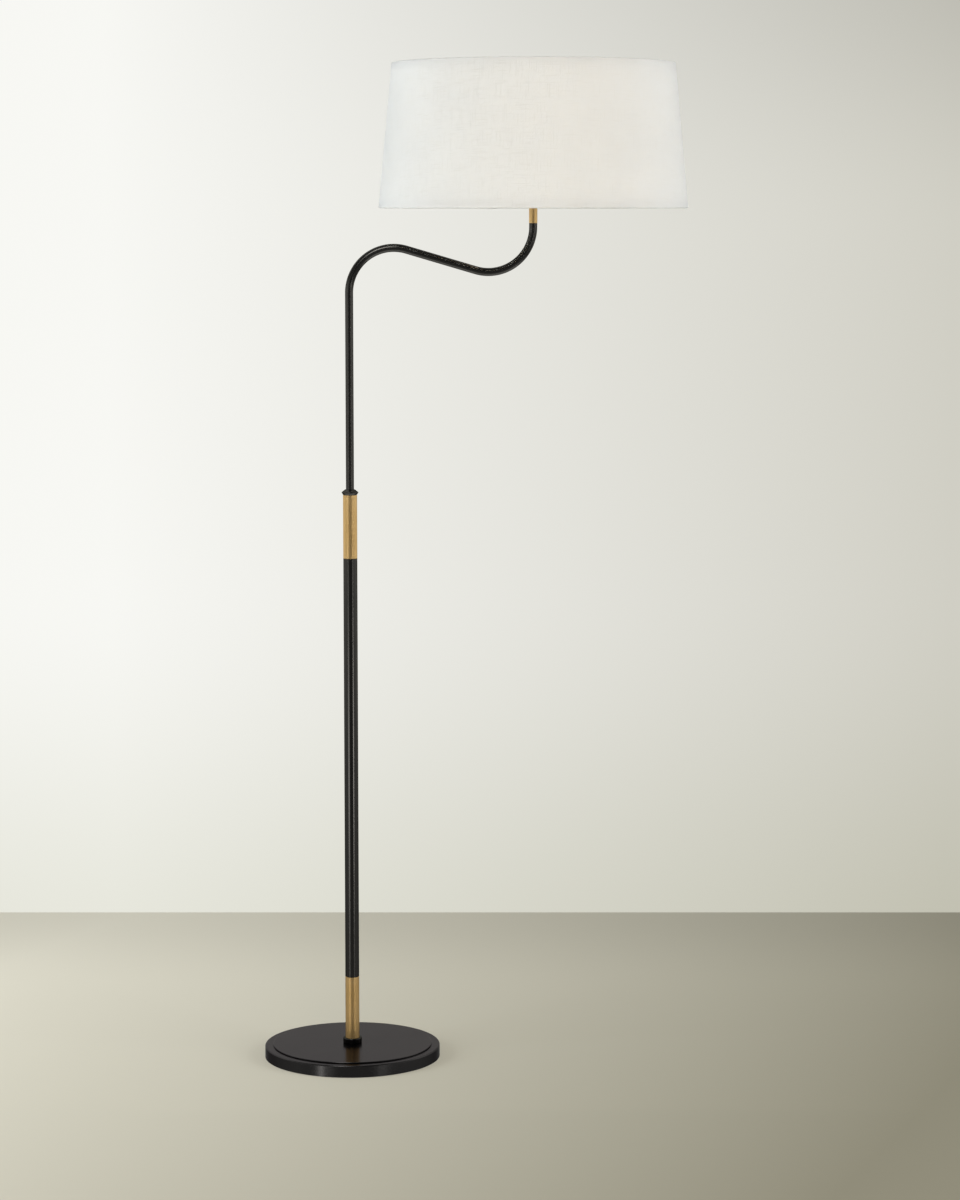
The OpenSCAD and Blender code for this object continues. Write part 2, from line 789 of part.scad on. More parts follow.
// Moulded block that carries the contacts and the rotary switch
module socket_body()
  color([0.12, 0.1, 0.09]) at_neck() difference() {
    union() {
      cylinder_between(cap_r - cap_dome_r, block_z, shell_z);
      cylinder_between(block_r, shell_z, block_top_z);
    }
    shaft_hole(switch_shaft_d / 2 + run_gap, socket_d / 2 - shaft_grip, socket_d);
  }

module cylinder_between(r, z0, z1)
  translate([0, 0, z0]) cylinder(r = r, h = z1 - z0);

module socket_screw_shell()
  color([0.8, 0.68, 0.4]) at_neck() lathe([
    [screw_hole_r, block_top_z],
    [screw_r + screw_wall, block_top_z],
    [screw_r + screw_wall, block_top_z + screw_h],
    [screw_r, block_top_z + screw_h],
    [screw_r, block_top_z + screw_wall],
    [screw_hole_r, block_top_z + screw_wall]
  ]);

module socket_contact()
  color([0.8, 0.68, 0.4]) at_neck() lathe(concat(
    [[0, block_top_z], [contact_r, block_top_z]],
    arc(
      [contact_r - contact_edge_r, block_top_z + contact_h - contact_edge_r],
      contact_edge_r, 0, 90, 4
    ),
    [[0, block_top_z + contact_h]]
  ));

module socket_liner()
  color("tan") at_neck() difference() {
    pipe(
      socket_d / 2 - shell_wall - fit_gap, block_r + fit_gap,
      shell_z + fit_gap, shell_top_z - liner_paper_down, liner_paper_edge
    );
    shaft_hole(shaft_hole_r, block_r - 2 * cut, socket_d);
  }

module socket_shell()
  color([0.72, 0.55, 0.3]) at_neck() difference() {
    lathe(wall_section(concat(
      [[socket_d / 2, shell_z + fit_gap]],
      arc(
        [socket_d / 2 + shell_bead_r, shell_top_z - shell_bead_r],
        shell_bead_r, 180, shell_bead_turn, 6
      )
    ), 0, shell_wall));
    shaft_hole(shaft_hole_r, block_r, socket_d);
  }

module switch_shaft()
  color("silver") at_neck()
    shaft_hole(
      switch_shaft_d / 2,
      socket_d / 2 - shaft_grip + shaft_end_gap, knob_y + knob_l - knob_end_t
    );

// Fluted knob that turns the lamp on and off
module switch_knob()
  color([0.08, 0.07, 0.06]) at_neck() translate([0, -knob_y, knob_z]) rotate([90, 0, 0])
    difference() {
      lathe(concat(
        [
          [switch_shaft_d / 2 + fit_gap, 0],
          [knob_d / 2 - knob_foot_edge, 0],
          [knob_d / 2, knob_foot_edge]
        ],
        arc([knob_d / 2 - knob_taper - knob_edge_r, knob_l - knob_edge_r], knob_edge_r, 0, 90, 5),
        [
          [0, knob_l],
          [0, knob_l - knob_end_t + fit_gap],
          [switch_shaft_d / 2 + fit_gap, knob_l - knob_end_t + fit_gap]
        ]
      ));
      for (i = [0:knob_flutes - 1])
        rotate([0, 0, 360 * i / knob_flutes])
          translate([knob_d / 2 + knob_flute_out, 0, knob_foot_h])
            cylinder(r = knob_flute_r, h = knob_l, $fn = 24);
    }

// Bulb

module bulb_base()
  color("silver") at_neck() lathe([
    [bulb_base_r - screw_wall, bulb_z + bulb_insulator_h],
    [bulb_base_r, bulb_z + bulb_insulator_h],
    [bulb_base_r, bulb_z + bulb_insulator_h + bulb_base_h],
    [bulb_base_r - screw_wall, bulb_z + bulb_insulator_h + bulb_base_h]
  ]);

module bulb_insulator()
  color([0.1, 0.1, 0.12]) at_neck() lathe([
    [0, bulb_z],
    [bulb_tip_r, bulb_z],
    [bulb_tip_r, bulb_z + bulb_tip_h],
    [bulb_base_r - bulb_insulator_rim, bulb_z + bulb_insulator_h],
    [bulb_neck_r, bulb_z + bulb_insulator_h],
    [bulb_neck_r, bulb_z + bulb_insulator_h + bulb_insulator_in],
    [0, bulb_z + bulb_insulator_h + bulb_insulator_in]
  ]);

// Pear-shaped glass: a ball, and a flank that runs from it tangent to the neck
module bulb_glass() {
  ball = bulb_d / 2;
  top = bulb_neck_z + bulb_glass_l;
  flare_r = bulb_neck_r + bulb_flare;
  flare_z = bulb_neck_z + bulb_flare_h;
  rise = top - ball - flare_z;
  apart = norm([flare_r, rise]);
  flank = acos(ball / apart) - atan2(rise, flare_r);
  color([0.97, 0.95, 0.9]) at_neck() {
    lathe(wall_section(concat(
      [[bulb_neck_r, bulb_neck_z], [bulb_neck_r, bulb_neck_z + bulb_neck_l], [flare_r, flare_z]],
      arc([0, top - ball], ball, flank, bulb_crown_turn, 18)
    ), 0, bulb_wall));
    translate([0, 0, top - bulb_wall - bulb_crown_drop])
      cylinder(r = bulb_crown_r, h = bulb_wall);
  }
}

// Shade

// Point of the shade's section: out from the linen's face, and down the slope from the top edge
function from_top(out, down) =
  [shade_top_d / 2, shade_h] + out * shade_out + down * shade_down;
function from_bottom(out, up) =
  [shade_bottom_d / 2, 0] + out * shade_out - up * shade_down;

module at_shade() translate([reach, 0, shade_z]) children();

function panel(near, far) = [
  from_top(near, panel_cut), from_bottom(near, panel_cut),
  from_bottom(far, panel_cut), from_top(far, panel_cut)
];

module shade_linen()
  color("white") at_shade() lathe(panel(-linen_t, 0));

module shade_backing()
  color("ghostwhite") at_shade() lathe(panel(backing_in, -linen_t - glue_gap));

module wire_ring(centre, d)
  translate([0, 0, centre.y]) rotate_extrude()
    translate([centre.x, 0]) circle(d = d, $fn = 24);

// Spider arms slope up from the washer's top to the top ring. They are drawn between
// two distances from the ring's centre
module spider_arms(d, from, to) {
  ring = from_top(ring_in, ring_down);
  for (turn = arm_angles)
    rotate([0, 0, turn])
      translate([ring.x, 0, ring.y])
        rotate([0, atan2(-spider_arm.x, -spider_arm.y), 0])
          translate([0, 0, to])
            cylinder(d = d, h = from - to);
}

module shade_spider()
  color("white") at_shade() {
    wire_ring(from_top(ring_in, ring_down), ring_wire_d);
    spider_arms(ring_wire_d, norm(spider_arm), 0);
    translate([0, 0, shade_h - spider_drop - washer_t]) difference() {
      cylinder(d = washer_d, h = washer_t);
      translate([0, 0, -cut]) cylinder(r = stud_r + run_gap, h = washer_t + 2 * cut);
    }
  }

module shade_bottom_ring()
  color("white") at_shade() wire_ring(from_bottom(ring_in, ring_down), ring_wire_d);

// From the foot of a spider arm, which beds into the washer's top, to the top ring's centre
spider_arm = from_top(ring_in, ring_down)
  - [washer_d / 2 - arm_foot_in, shade_h - spider_drop + ring_wire_d / 2 - arm_foot_bed];

// Hem's middle line, as pairs of out and down: up the face, over the ring and back to the backing
hem_line = concat(
  [[hem_out, hem_h]],
  arc([(hem_out + hem_in) / 2, ring_down], hem_bend_r, 0, -180, 12),
  [
    [hem_in, ring_down + ring_wire_d / 2],
    [backing_in - glue_gap - hem_t / 2, ring_down + 1.8 * ring_wire_d],
    [backing_in - glue_gap - hem_t / 2, hem_h]
  ]
);
hem_section = wall_section(hem_line, -hem_t / 2, hem_t / 2);

module shade_top_hem()
  color("white") at_shade() difference() {
    lathe([for (p = hem_section) from_top(p.x, p.y)]);
    spider_arms(ring_wire_d + 2 * run_gap, hem_h, ring_wire_d / 4);
  }

module shade_bottom_hem()
  color("white") at_shade() lathe([for (p = hem_section) from_bottom(p.x, p.y)]);

base_pad();
base_weight();
base_cover();
cord_bushing();
base_nut();
base_lock_washer();
base_nipple();
foot_collar();
foot_plug();
stem_liner();
lower_sleeve();
stem_tube();
upper_sleeve();
guide_bush();
lock_collet();
lock_collar();
slider_bush();
slider_stop_ring();
tube_end_bush();
arm_tube();
neck_ferrule();
neck_nipple();
harp_saddle();
harp();
harp_stud();
harp_lock_left();
harp_lock_right();
socket_cap();
socket_locknut();
socket_body();
socket_screw_shell();
socket_contact();
socket_liner();
socket_shell();
switch_shaft();
switch_knob();
bulb_base();
bulb_insulator();
bulb_glass();
shade_spider();
shade_bottom_ring();
shade_backing();
shade_linen();
shade_top_hem();
shade_bottom_hem();
finial();
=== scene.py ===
# %% [markdown]
# # An adjustable floor lamp
#
# The lamp stands on a heavy round base. Its stem is a black tube between two brass sleeves.
# A thinner black tube slides and turns in the stem, bends over and down and up again, and
# carries a wide linen shade. The construction comes in as a fixed frame, so this lesson makes
# the looks: the finish of each surface, the cloth of the shade, and the few pieces whose real
# shape is finer than their construction, such as the rolled linen and the lamp's threads.

# %% Load the frame
import math

import bpy
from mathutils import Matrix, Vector


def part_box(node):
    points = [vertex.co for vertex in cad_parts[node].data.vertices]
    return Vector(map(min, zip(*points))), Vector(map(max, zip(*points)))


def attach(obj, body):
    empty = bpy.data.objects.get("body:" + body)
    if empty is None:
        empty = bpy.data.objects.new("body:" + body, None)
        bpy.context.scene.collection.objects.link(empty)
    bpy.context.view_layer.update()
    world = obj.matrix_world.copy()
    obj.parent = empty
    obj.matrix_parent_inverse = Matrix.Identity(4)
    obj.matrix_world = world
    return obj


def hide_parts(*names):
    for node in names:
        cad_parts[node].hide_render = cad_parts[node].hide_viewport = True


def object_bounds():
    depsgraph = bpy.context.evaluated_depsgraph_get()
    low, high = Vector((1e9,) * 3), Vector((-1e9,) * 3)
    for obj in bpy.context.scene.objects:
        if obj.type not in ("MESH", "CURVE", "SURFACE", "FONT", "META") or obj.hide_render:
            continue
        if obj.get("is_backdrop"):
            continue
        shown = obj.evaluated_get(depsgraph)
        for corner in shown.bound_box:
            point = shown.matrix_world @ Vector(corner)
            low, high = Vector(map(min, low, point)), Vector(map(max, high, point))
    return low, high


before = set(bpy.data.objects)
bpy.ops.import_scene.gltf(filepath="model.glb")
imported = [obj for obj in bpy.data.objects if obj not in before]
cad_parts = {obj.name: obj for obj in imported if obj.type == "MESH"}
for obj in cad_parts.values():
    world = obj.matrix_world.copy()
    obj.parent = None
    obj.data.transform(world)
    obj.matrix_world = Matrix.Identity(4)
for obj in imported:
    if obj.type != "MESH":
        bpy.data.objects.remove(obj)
cad_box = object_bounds()


def new_object(name, data):
    made = bpy.data.objects.new(name, data)
    bpy.context.scene.collection.objects.link(made)
    return made


# %% [markdown]
# ## The camera
#
# A long lens far away keeps the stem's sides nearly parallel. Its height is where the shade's
# bottom edge shows as a straight line: there the eye is level with that edge. The ellipses of
# the base then give the distance and the tilt.

# %% Place the camera
CAMERA_PLACE = (0.2046, -5.1358, 1.3470)
CAMERA_TILT = math.radians(6.776)
LENS_MM = 98.2
LONG_SIDE_MM = 36

camera_data = bpy.data.cameras.new("camera")
camera_data.lens = LENS_MM
camera_data.sensor_width = LONG_SIDE_MM
camera = new_object("camera", camera_data)
camera.location = CAMERA_PLACE
camera.rotation_euler = (math.pi / 2 - CAMERA_TILT, 0, 0)
bpy.context.scene.camera = camera
bpy.context.scene.view_settings.view_transform = "Standard"
print("camera", round(-CAMERA_PLACE[1], 2), "m in front of the stem")

# %% [markdown]
# ## Helpers for node trees
#
# Materials and Geometry Nodes are both trees of nodes, so one helper serves both. It makes a
# node, sets its options, and gives each input either a plain value or a link. Small helpers
# on top of it keep each recipe short. A noise seldom comes near 0 or 1, so a pattern is
# spread from the middle part of its range.

# %% Make nodes
def add(tree, kind, inputs=(), **options):
    """Makes a node. An input that is given a socket gets a link, and any other its value."""
    made = tree.nodes.new(kind)
    for name, value in options.items():
        setattr(made, name, value)
    for name, value in dict(inputs).items():
        if isinstance(value, bpy.types.NodeSocket):
            tree.links.new(value, made.inputs[name])
        else:
            made.inputs[name].default_value = value
    return made


def out(tree, kind, inputs=(), **options):
    """Makes a node and gives its first output."""
    return add(tree, kind, inputs, **options).outputs[0]


def calculate(tree, operation, *values):
    return out(tree, "ShaderNodeMath", enumerate(values), operation=operation)


def product(tree, result, *factors):
    for factor in factors:
        result = calculate(tree, "MULTIPLY", result, factor)
    return result


def spread(tree, value, low, high, to_low=0.0, to_high=1.0, kind="LINEAR"):
    """Moves the range from low to high onto the range from to_low to to_high."""
    ends = {"From Min": low, "From Max": high, "To Min": to_low, "To Max": to_high}
    return out(tree, "ShaderNodeMapRange", {"Value": value, **ends}, interpolation_type=kind)


def split(tree, vector):
    return add(tree, "ShaderNodeSeparateXYZ", {0: vector}).outputs


def blend(tree, share, first, second):
    """Mixes two numbers, which are sockets 2 and 3 of the node."""
    return out(tree, "ShaderNodeMix", {0: share, 2: first, 3: second})


# %% Make patterns
NOISE_CORE = (0.35, 0.65)
NOISE_SPAN = (0.3, 0.7)


def place(tree, stretch=(1, 1, 1), source="Object"):
    coordinates = add(tree, "ShaderNodeTexCoord").outputs[source]
    return out(tree, "ShaderNodeMapping", {"Vector": coordinates, "Scale": stretch})


def noise(tree, where, scale, detail=2.0, roughness=0.5):
    values = {"Vector": where, "Scale": scale, "Detail": detail, "Roughness": roughness}
    return out(tree, "ShaderNodeTexNoise", values)


def bump(tree, height, depth):
    return out(tree, "ShaderNodeBump", {"Height": height, "Distance": depth})


def mix_colour(tree, share, first, second, kind="MIX"):
    """Mixes two colours, which are sockets 6 and 7 of the node."""
    colours = {0: share, 6: first, 7: second}
    return add(tree, "ShaderNodeMix", colours, data_type="RGBA", blend_type=kind).outputs[2]


def opaque(colour):
    return (*colour, 1.0)


def between(tree, share, first, second):
    return mix_colour(tree, share, opaque(first), opaque(second))


# %% Start a finish
def new_finish(name, **constants):
    """A material, its tree and its shader. Sockets are named with _ for each space."""
    material = bpy.data.materials.new(name)
    material.use_nodes = True
    tree = material.node_tree
    shader = tree.nodes["Principled BSDF"]
    for socket, value in constants.items():
        shader.inputs[socket.replace("_", " ")].default_value = value
    print("finish", name)
    return material, tree, shader


def drive(tree, shader, **sockets):
    """Links values to sockets of a shader, named in the same way."""
    for socket, value in sockets.items():
        tree.links.new(value, shader.inputs[socket.replace("_", " ")])


def cover(tree, share, below, above):
    """Makes a material's surface of one shader that covers another in part."""
    layers = {0: share, 1: below, 2: above}
    surface = out(tree, "ShaderNodeMixShader", layers)
    drive(tree, tree.nodes["Material Output"], Surface=surface)


# %% [markdown]
# ## The studio
#
# The room is a plain pale floor and a plain wall. The wall is only a picture for the camera
# and for reflections, and sends no light to the lamp. Both are see-through from their backs,
# so that the lamp can be looked at from every side. Painted shade makes both darker to the
# right, as daylight from a window on the left would leave them, and the floor also towards
# the front. The wall has painted shade too near the floor and, on the right, near its top.
# Far from the lamp both turn into the pale backdrop, but only where they are seen or
# mirrored, so no light is added. Half of what the camera sees of the floor is painted light:
# the floor as it would look without any shadow, which keeps shadows faint.

# %% Shade the room
# Where a painted shade fade starts and ends along X, and how far it moves for each metre of Y.
WALL_SHADE = (-0.5, 1.1, 0.0)
FLOOR_SHADE = (-0.9, 1.0, -0.4)
WALL_LIT = (0.935, 0.935, 0.90)
WALL_DIM = (0.633, 0.622, 0.556)
FLOOR_LIT = (0.725, 0.700, 0.595)
FLOOR_DIM = (0.243, 0.229, 0.172)
BACKDROP = (0.80, 0.795, 0.755)
# How far from the stem the room starts to fade, and where it is gone.
CLEAR_TO = 1.55
LOST_FROM = 2.3


def painted_shade_across_room(tree, lit, dim, lit_from, dim_from, slant):
    """Paints shade: a fade between two colours along X, moved over by slant for each metre of Y."""
    where = split(tree, place(tree))
    moved = calculate(tree, "MULTIPLY_ADD", where["Y"], slant, where["X"])
    return between(tree, spread(tree, moved, lit_from, dim_from), lit, dim)


def seen_from_behind(tree):
    return add(tree, "ShaderNodeNewGeometry").outputs["Backfacing"]


def lost_in_backdrop(tree):
    """How much the backdrop covers a surface, by its distance from the stem."""
    flat = place(tree, (1, 1, 0))
    distance = add(tree, "ShaderNodeVectorMath", {0: flat}, operation="LENGTH").outputs["Value"]
    far_away = spread(tree, distance, CLEAR_TO, LOST_FROM, kind="SMOOTHSTEP")
    ray = add(tree, "ShaderNodeLightPath").outputs
    mirrored = calculate(tree, "MAXIMUM", ray["Is Glossy Ray"], ray["Is Transmission Ray"])
    seen = calculate(tree, "MAXIMUM", ray["Is Camera Ray"], mirrored)
    return product(tree, far_away, seen)


def flat_mesh(name, corners, material):
    mesh = bpy.data.meshes.new(name)
    mesh.from_pydata(corners, [], [(0, 1, 2, 3)])
    mesh.materials.append(material)
    made = new_object(name, mesh)
    made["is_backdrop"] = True
    return made


# %% Lay the floor
FAR = 30.0
WALL_BACK = 1.08
SHADOW_FILL = 0.5
FLOOR_LIGHT = 1.1
FLOOR_LIGHT_AT_WALL = 0.72
FLOOR_DIMS_FROM = 0.45


def unshaded_floor(tree):
    """The floor as it would look with the lamps' light and no shadow."""
    colours = [[FLOOR_LIGHT * share for share in colour] for colour in (FLOOR_LIT, FLOOR_DIM)]
    back = split(tree, place(tree))["Y"]
    dims = (FLOOR_DIMS_FROM, WALL_BACK, 1.0, FLOOR_LIGHT_AT_WALL)
    return out(tree, "ShaderNodeEmission", {
        "Color": painted_shade_across_room(tree, *colours, *FLOOR_SHADE),
        "Strength": spread(tree, back, *dims, kind="SMOOTHSTEP"),
    })


def floor_colour_and_painted_shade():
    material, tree, shader = new_finish("floor_paint", Roughness=0.9, Specular_IOR_Level=0.1)
    # The floor's colour holds painted shade: darker to the right and towards the front.
    colour = painted_shade_across_room(tree, FLOOR_LIT, FLOOR_DIM, *FLOOR_SHADE)
    from_above = calculate(tree, "SUBTRACT", 1.0, seen_from_behind(tree))
    drive(tree, shader, Base_Color=colour, Alpha=from_above)
    camera_ray = add(tree, "ShaderNodeLightPath").outputs["Is Camera Ray"]
    filled = product(tree, camera_ray, from_above, SHADOW_FILL)
    layers = {0: filled, 1: shader.outputs[0], 2: unshaded_floor(tree)}
    soft = out(tree, "ShaderNodeMixShader", layers)
    haze = out(tree, "ShaderNodeEmission", {"Color": opaque(BACKDROP)})
    covered = product(tree, lost_in_backdrop(tree), from_above)
    cover(tree, covered, soft, haze)
    return material


floor_corners = [(-FAR, -FAR, 0), (FAR, -FAR, 0), (FAR, FAR, 0), (-FAR, FAR, 0)]
floor = flat_mesh("floor", floor_corners, floor_colour_and_painted_shade())
floor.visible_glossy = False
print("floor", 2 * FAR, "m wide")

# %% Put up the wall
WALL_HEIGHT = 9.0
# Painted shade on the wall near the floor, and towards the right near its top.
WALL_FOOT_PAINTED_SHADE = (0.84, 0.84, 0.78)
WALL_FOOT_FADE = (-0.15, 0.65)
WALL_TOP_SHADE = 0.21
WALL_TOP_FADE = (1.3, 1.9)
WHITE = (1.0, 1.0, 1.0)
BLACK = (0.0, 0.0, 0.0)


def paint_wall_shade(tree, glow):
    """Paints shade into a colour near the floor and, towards the right, near the top."""
    where = split(tree, place(tree))
    off_floor = spread(tree, where["Z"], *WALL_FOOT_FADE, kind="SMOOTHSTEP")
    tone = between(tree, off_floor, WALL_FOOT_PAINTED_SHADE, WHITE)
    foot_shaded = mix_colour(tree, 1.0, glow, tone, "MULTIPLY")
    to_right = spread(tree, where["X"], *WALL_SHADE[:2], 0.0, WALL_TOP_SHADE)
    to_top = spread(tree, where["Z"], *WALL_TOP_FADE, kind="SMOOTHSTEP")
    return mix_colour(tree, product(tree, to_right, to_top), foot_shaded, opaque(BLACK))


def wall_colour_and_painted_shade():
    material, tree, shader = new_finish("wall_paint")
    tree.nodes.remove(shader)
    # The wall's colour holds painted shade: darker to the right, near the floor and near the top.
    near = paint_wall_shade(tree, painted_shade_across_room(tree, WALL_LIT, WALL_DIM, *WALL_SHADE))
    colour = mix_colour(tree, lost_in_backdrop(tree), near, opaque(BACKDROP))
    glow = out(tree, "ShaderNodeEmission", {"Color": colour})
    clear = out(tree, "ShaderNodeBsdfTransparent")
    cover(tree, seen_from_behind(tree), glow, clear)
    return material


wall = flat_mesh("wall", [
    (-FAR, WALL_BACK, 0), (FAR, WALL_BACK, 0),
    (FAR, WALL_BACK, WALL_HEIGHT), (-FAR, WALL_BACK, WALL_HEIGHT),
], wall_colour_and_painted_shade())
wall.visible_diffuse = False
wall.visible_shadow = False
wall.visible_transmission = False
print("wall", WALL_BACK, "m behind the stem")

# %% [markdown]
# ## What metal mirrors
#
# Metal shows what is around it, so a studio for tubes needs something dark as well as much
# that is bright. The world holds that studio, by the direction in which a reflection looks.
# Straight ahead is a dark gap, so each tube has a dark line down its middle and looks round.
# Two pale strips stand low beside the gap, so only the lower half of the stem shows them. A
# third, lower still, draws a glint on the side of the base, and a fourth, high up, the bright
# line along its rim. It is dimmer towards the floor and overhead, but bright right below,
# which draws a thin line along the underside of the arm. All that isn't a reflection gets an
# even light.

# %% Choose what metal mirrors
AMBIENT = 0.43
FRONT_GLOW = 0.9
SIDE_GLOW = 1.3
DARK_GLOW = 0.15
LOW_SHARE = 0.36
HIGH_SHARE = 0.1
FLOOR_GLOW = 0.27
UNDER_GLOW = 1.3
LEVEL_GAP_WIDER = 1.6
GAP_TURN = math.radians(5)
GAP_EDGE = (math.radians(10), math.radians(34))
FRONT_TO_SIDE = (math.radians(30), math.radians(80))
# Where fades start and end, by how far a direction goes up, or back for the last.
GAP_WIDENS = (-0.10, -0.04)
LOW_FADE = (-0.16, 0.0)
HIGH_FADE = (0.03, 0.30)
FLOOR_EDGE = (-0.26, -0.18)
UNDER_FADE = (-0.60, -0.80)
UNDER_BACK_FADE = (-0.60, -0.35)
# Turns are in degrees, to the right of the way to the camera.
STRIPS = [
    {"turn": -36, "edge": (4, 19), "glow": 3.5, "foot": (-0.215, -0.19), "head": (-0.15, -0.125)},
    {"turn": 42, "edge": (2, 11), "glow": 6.6, "foot": (-0.21, -0.165), "head": (-0.15, -0.125)},
    {"turn": -40, "edge": (1, 6), "glow": 7.0, "foot": (-0.32, -0.29), "head": (-0.27, -0.255)},
    {"turn": -15, "edge": (8, 16), "glow": 6.0, "foot": (0.35, 0.45), "head": (0.65, 0.75)},
]
print(len(STRIPS), "pale strips beside the gap")

# %% Light the world
world = bpy.data.worlds.new("studio")
bpy.context.scene.world = world
world.use_nodes = True
tree = world.node_tree
looks = split(tree, add(tree, "ShaderNodeTexCoord").outputs["Generated"])
turn = calculate(tree, "ARCTAN2", looks["X"], product(tree, looks["Y"], -1.0))


def away_from(place_turn):
    return calculate(tree, "ABSOLUTE", calculate(tree, "SUBTRACT", turn, place_turn))


def fading(value, limits, at_start, at_end):
    return spread(tree, value, *limits, at_start, at_end, "SMOOTHSTEP")


around = fading(away_from(0.0), FRONT_TO_SIDE, FRONT_GLOW, SIDE_GLOW)
gap_wider = fading(looks["Z"], GAP_WIDENS, 1.0, LEVEL_GAP_WIDER)
from_gap = calculate(tree, "DIVIDE", away_from(GAP_TURN), gap_wider)
past_gap = fading(from_gap, GAP_EDGE, 0.0, 1.0)
towards_floor = fading(looks["Z"], LOW_FADE, LOW_SHARE, 1.0)
towards_top = fading(looks["Z"], HIGH_FADE, 1.0, HIGH_SHARE)
by_height = product(tree, towards_floor, towards_top)
studio = calculate(tree, "MAXIMUM", product(tree, around, past_gap, by_height), DARK_GLOW)
at_floor = fading(looks["Z"], FLOOR_EDGE, 1.0, 0.0)
steeply_down = fading(looks["Z"], UNDER_FADE, 0.0, 1.0)
not_forward = fading(looks["Y"], UNDER_BACK_FADE, 0.0, 1.0)
floor_glow = blend(tree, product(tree, steeply_down, not_forward), FLOOR_GLOW, UNDER_GLOW)
reflected = blend(tree, at_floor, studio, floor_glow)
for strip in STRIPS:
    edge = [math.radians(degrees) for degrees in strip["edge"]]
    across = fading(away_from(math.radians(strip["turn"])), edge, strip["glow"], 0.0)
    foot = fading(looks["Z"], strip["foot"], 0.0, 1.0)
    head = fading(looks["Z"], strip["head"], 1.0, 0.0)
    shape = product(tree, across, product(tree, foot, head))
    reflected = calculate(tree, "MAXIMUM", reflected, shape)
ray = add(tree, "ShaderNodeLightPath").outputs
for_gloss = blend(tree, ray["Is Glossy Ray"], AMBIENT, reflected)
for_camera = blend(tree, ray["Is Camera Ray"], for_gloss, 1.0)
sky = tree.nodes["Background"]
sky.inputs["Color"].default_value = opaque(BACKDROP)
drive(tree, sky, Strength=for_camera)
print("world lights at", AMBIENT, "and shines at up to", SIDE_GLOW)

# %% [markdown]
# ## The lamps
#
# Large lamps give the light a direction, and stay soft because they are large. One stands at
# each side, cool as daylight, and keeps both edges of the white shade bright. A warm one in
# front fills the middle of the shade. The last lies on the floor below the shade, as a white
# reflector would, and lifts its lower edge. Metal shows none of them: that is in the world.

# %% Hang the lamps
AT_LAMP = Vector((0.1, 0.0, 0.9))
AT_SHADE = Vector((0.29, 0.0, 1.45))


def soft_light(name, where, colour, size, watts, aimed_at=AT_LAMP):
    data = bpy.data.lights.new(name, "AREA")
    data.size = size
    data.energy = watts
    data.color = colour
    made = new_object(name, data)
    made.location = where
    made.rotation_euler = (aimed_at - Vector(where)).to_track_quat("-Z", "Y").to_euler()
    made.visible_glossy = False
    made.visible_camera = False
    return made


lights = [
    soft_light("left_light", (-3.3, -2.0, 1.8), (0.87, 0.94, 1.0), size=2.4, watts=174),
    soft_light("right_light", (3.5, -1.9, 1.8), (0.94, 0.975, 1.0), size=2.4, watts=144),
    soft_light("front_light", (0.5, -4.6, 2.8), (1.0, 0.62, 0.18), size=1.6, watts=48),
    soft_light(
        "floor_light", (0.29, -0.45, 0.04), (1.0, 0.97, 0.93), size=1.2, watts=9, aimed_at=AT_SHADE,
    ),
]
print(len(lights), "soft lights")

# %% [markdown]
# ## Brass and steel
#
# The sleeves and the neck's ferrule are brass that was darkened, then brushed along its
# length. The strokes are a noise squeezed thin round the tube and drawn long along Z. A
# slower noise leaves darker, browner clouds where the patina was rubbed less. The steel
# liner inside the stem has the same strokes.

# %% Make brushed metals
STROKE_WIDTH = 0.0004
STROKE_LENGTH = 0.03
STROKE_DEPTH = 0.00002
CLOUD_WIDTH = 0.03
CLOUD_LENGTH = 0.075
CLOUD_SHARE = 0.55


def brushed_metal(name, bright, dull, smooth, rough, **constants):
    material, tree, shader = new_finish(name, **constants)
    along = place(tree, (1 / STROKE_WIDTH, 1 / STROKE_WIDTH, 1 / STROKE_LENGTH))
    strokes = noise(tree, along, 1.0, detail=3.0, roughness=0.6)
    clouds = place(tree, (1 / CLOUD_WIDTH, 1 / CLOUD_WIDTH, 1 / CLOUD_LENGTH))
    broad = noise(tree, clouds, 1.0, detail=4.0, roughness=0.55)
    patina = blend(tree, CLOUD_SHARE, strokes, broad)
    drive(
        tree, shader,
        Base_Color=between(tree, spread(tree, patina, *NOISE_CORE), dull, bright),
        Roughness=spread(tree, patina, *NOISE_SPAN, rough, smooth),
        Normal=bump(tree, strokes, STROKE_DEPTH),
    )
    return material


brushed_brass = brushed_metal(
    "brushed_brass", bright=(0.81, 0.555, 0.255), dull=(0.67, 0.425, 0.16), smooth=0.28, rough=0.36,
    Metallic=0.92, Specular_Tint=opaque((0.52, 0.46, 0.36)), Coat_Weight=0.2, Coat_Roughness=0.30,
)
raw_steel = brushed_metal(
    "raw_steel", bright=(0.46, 0.46, 0.45), dull=(0.30, 0.29, 0.28), smooth=0.30, rough=0.50,
    Metallic=1.0,
)

# %% [markdown]
# The fittings under the shade are brass-plated steel: brighter, smoother and even, with only
# a faint haze. Zinc plate has a cold tone with bluish and yellowish clouds.

# %% Make plated metals
PLATE_CLOUD = 0.008
PLATE_GRAIN = 1800.0
PLATE_GRAIN_DEPTH = 0.000008


def plated_metal(name, colour, cast, smooth, rough):
    material, tree, shader = new_finish(name, Metallic=1.0)
    haze = noise(tree, place(tree), 1 / PLATE_CLOUD, detail=4.0, roughness=0.6)
    drive(
        tree, shader,
        Base_Color=between(tree, spread(tree, haze, *NOISE_CORE), colour, cast),
        Roughness=spread(tree, haze, *NOISE_SPAN, smooth, rough),
        Normal=bump(tree, noise(tree, place(tree), PLATE_GRAIN), PLATE_GRAIN_DEPTH),
    )
    return material


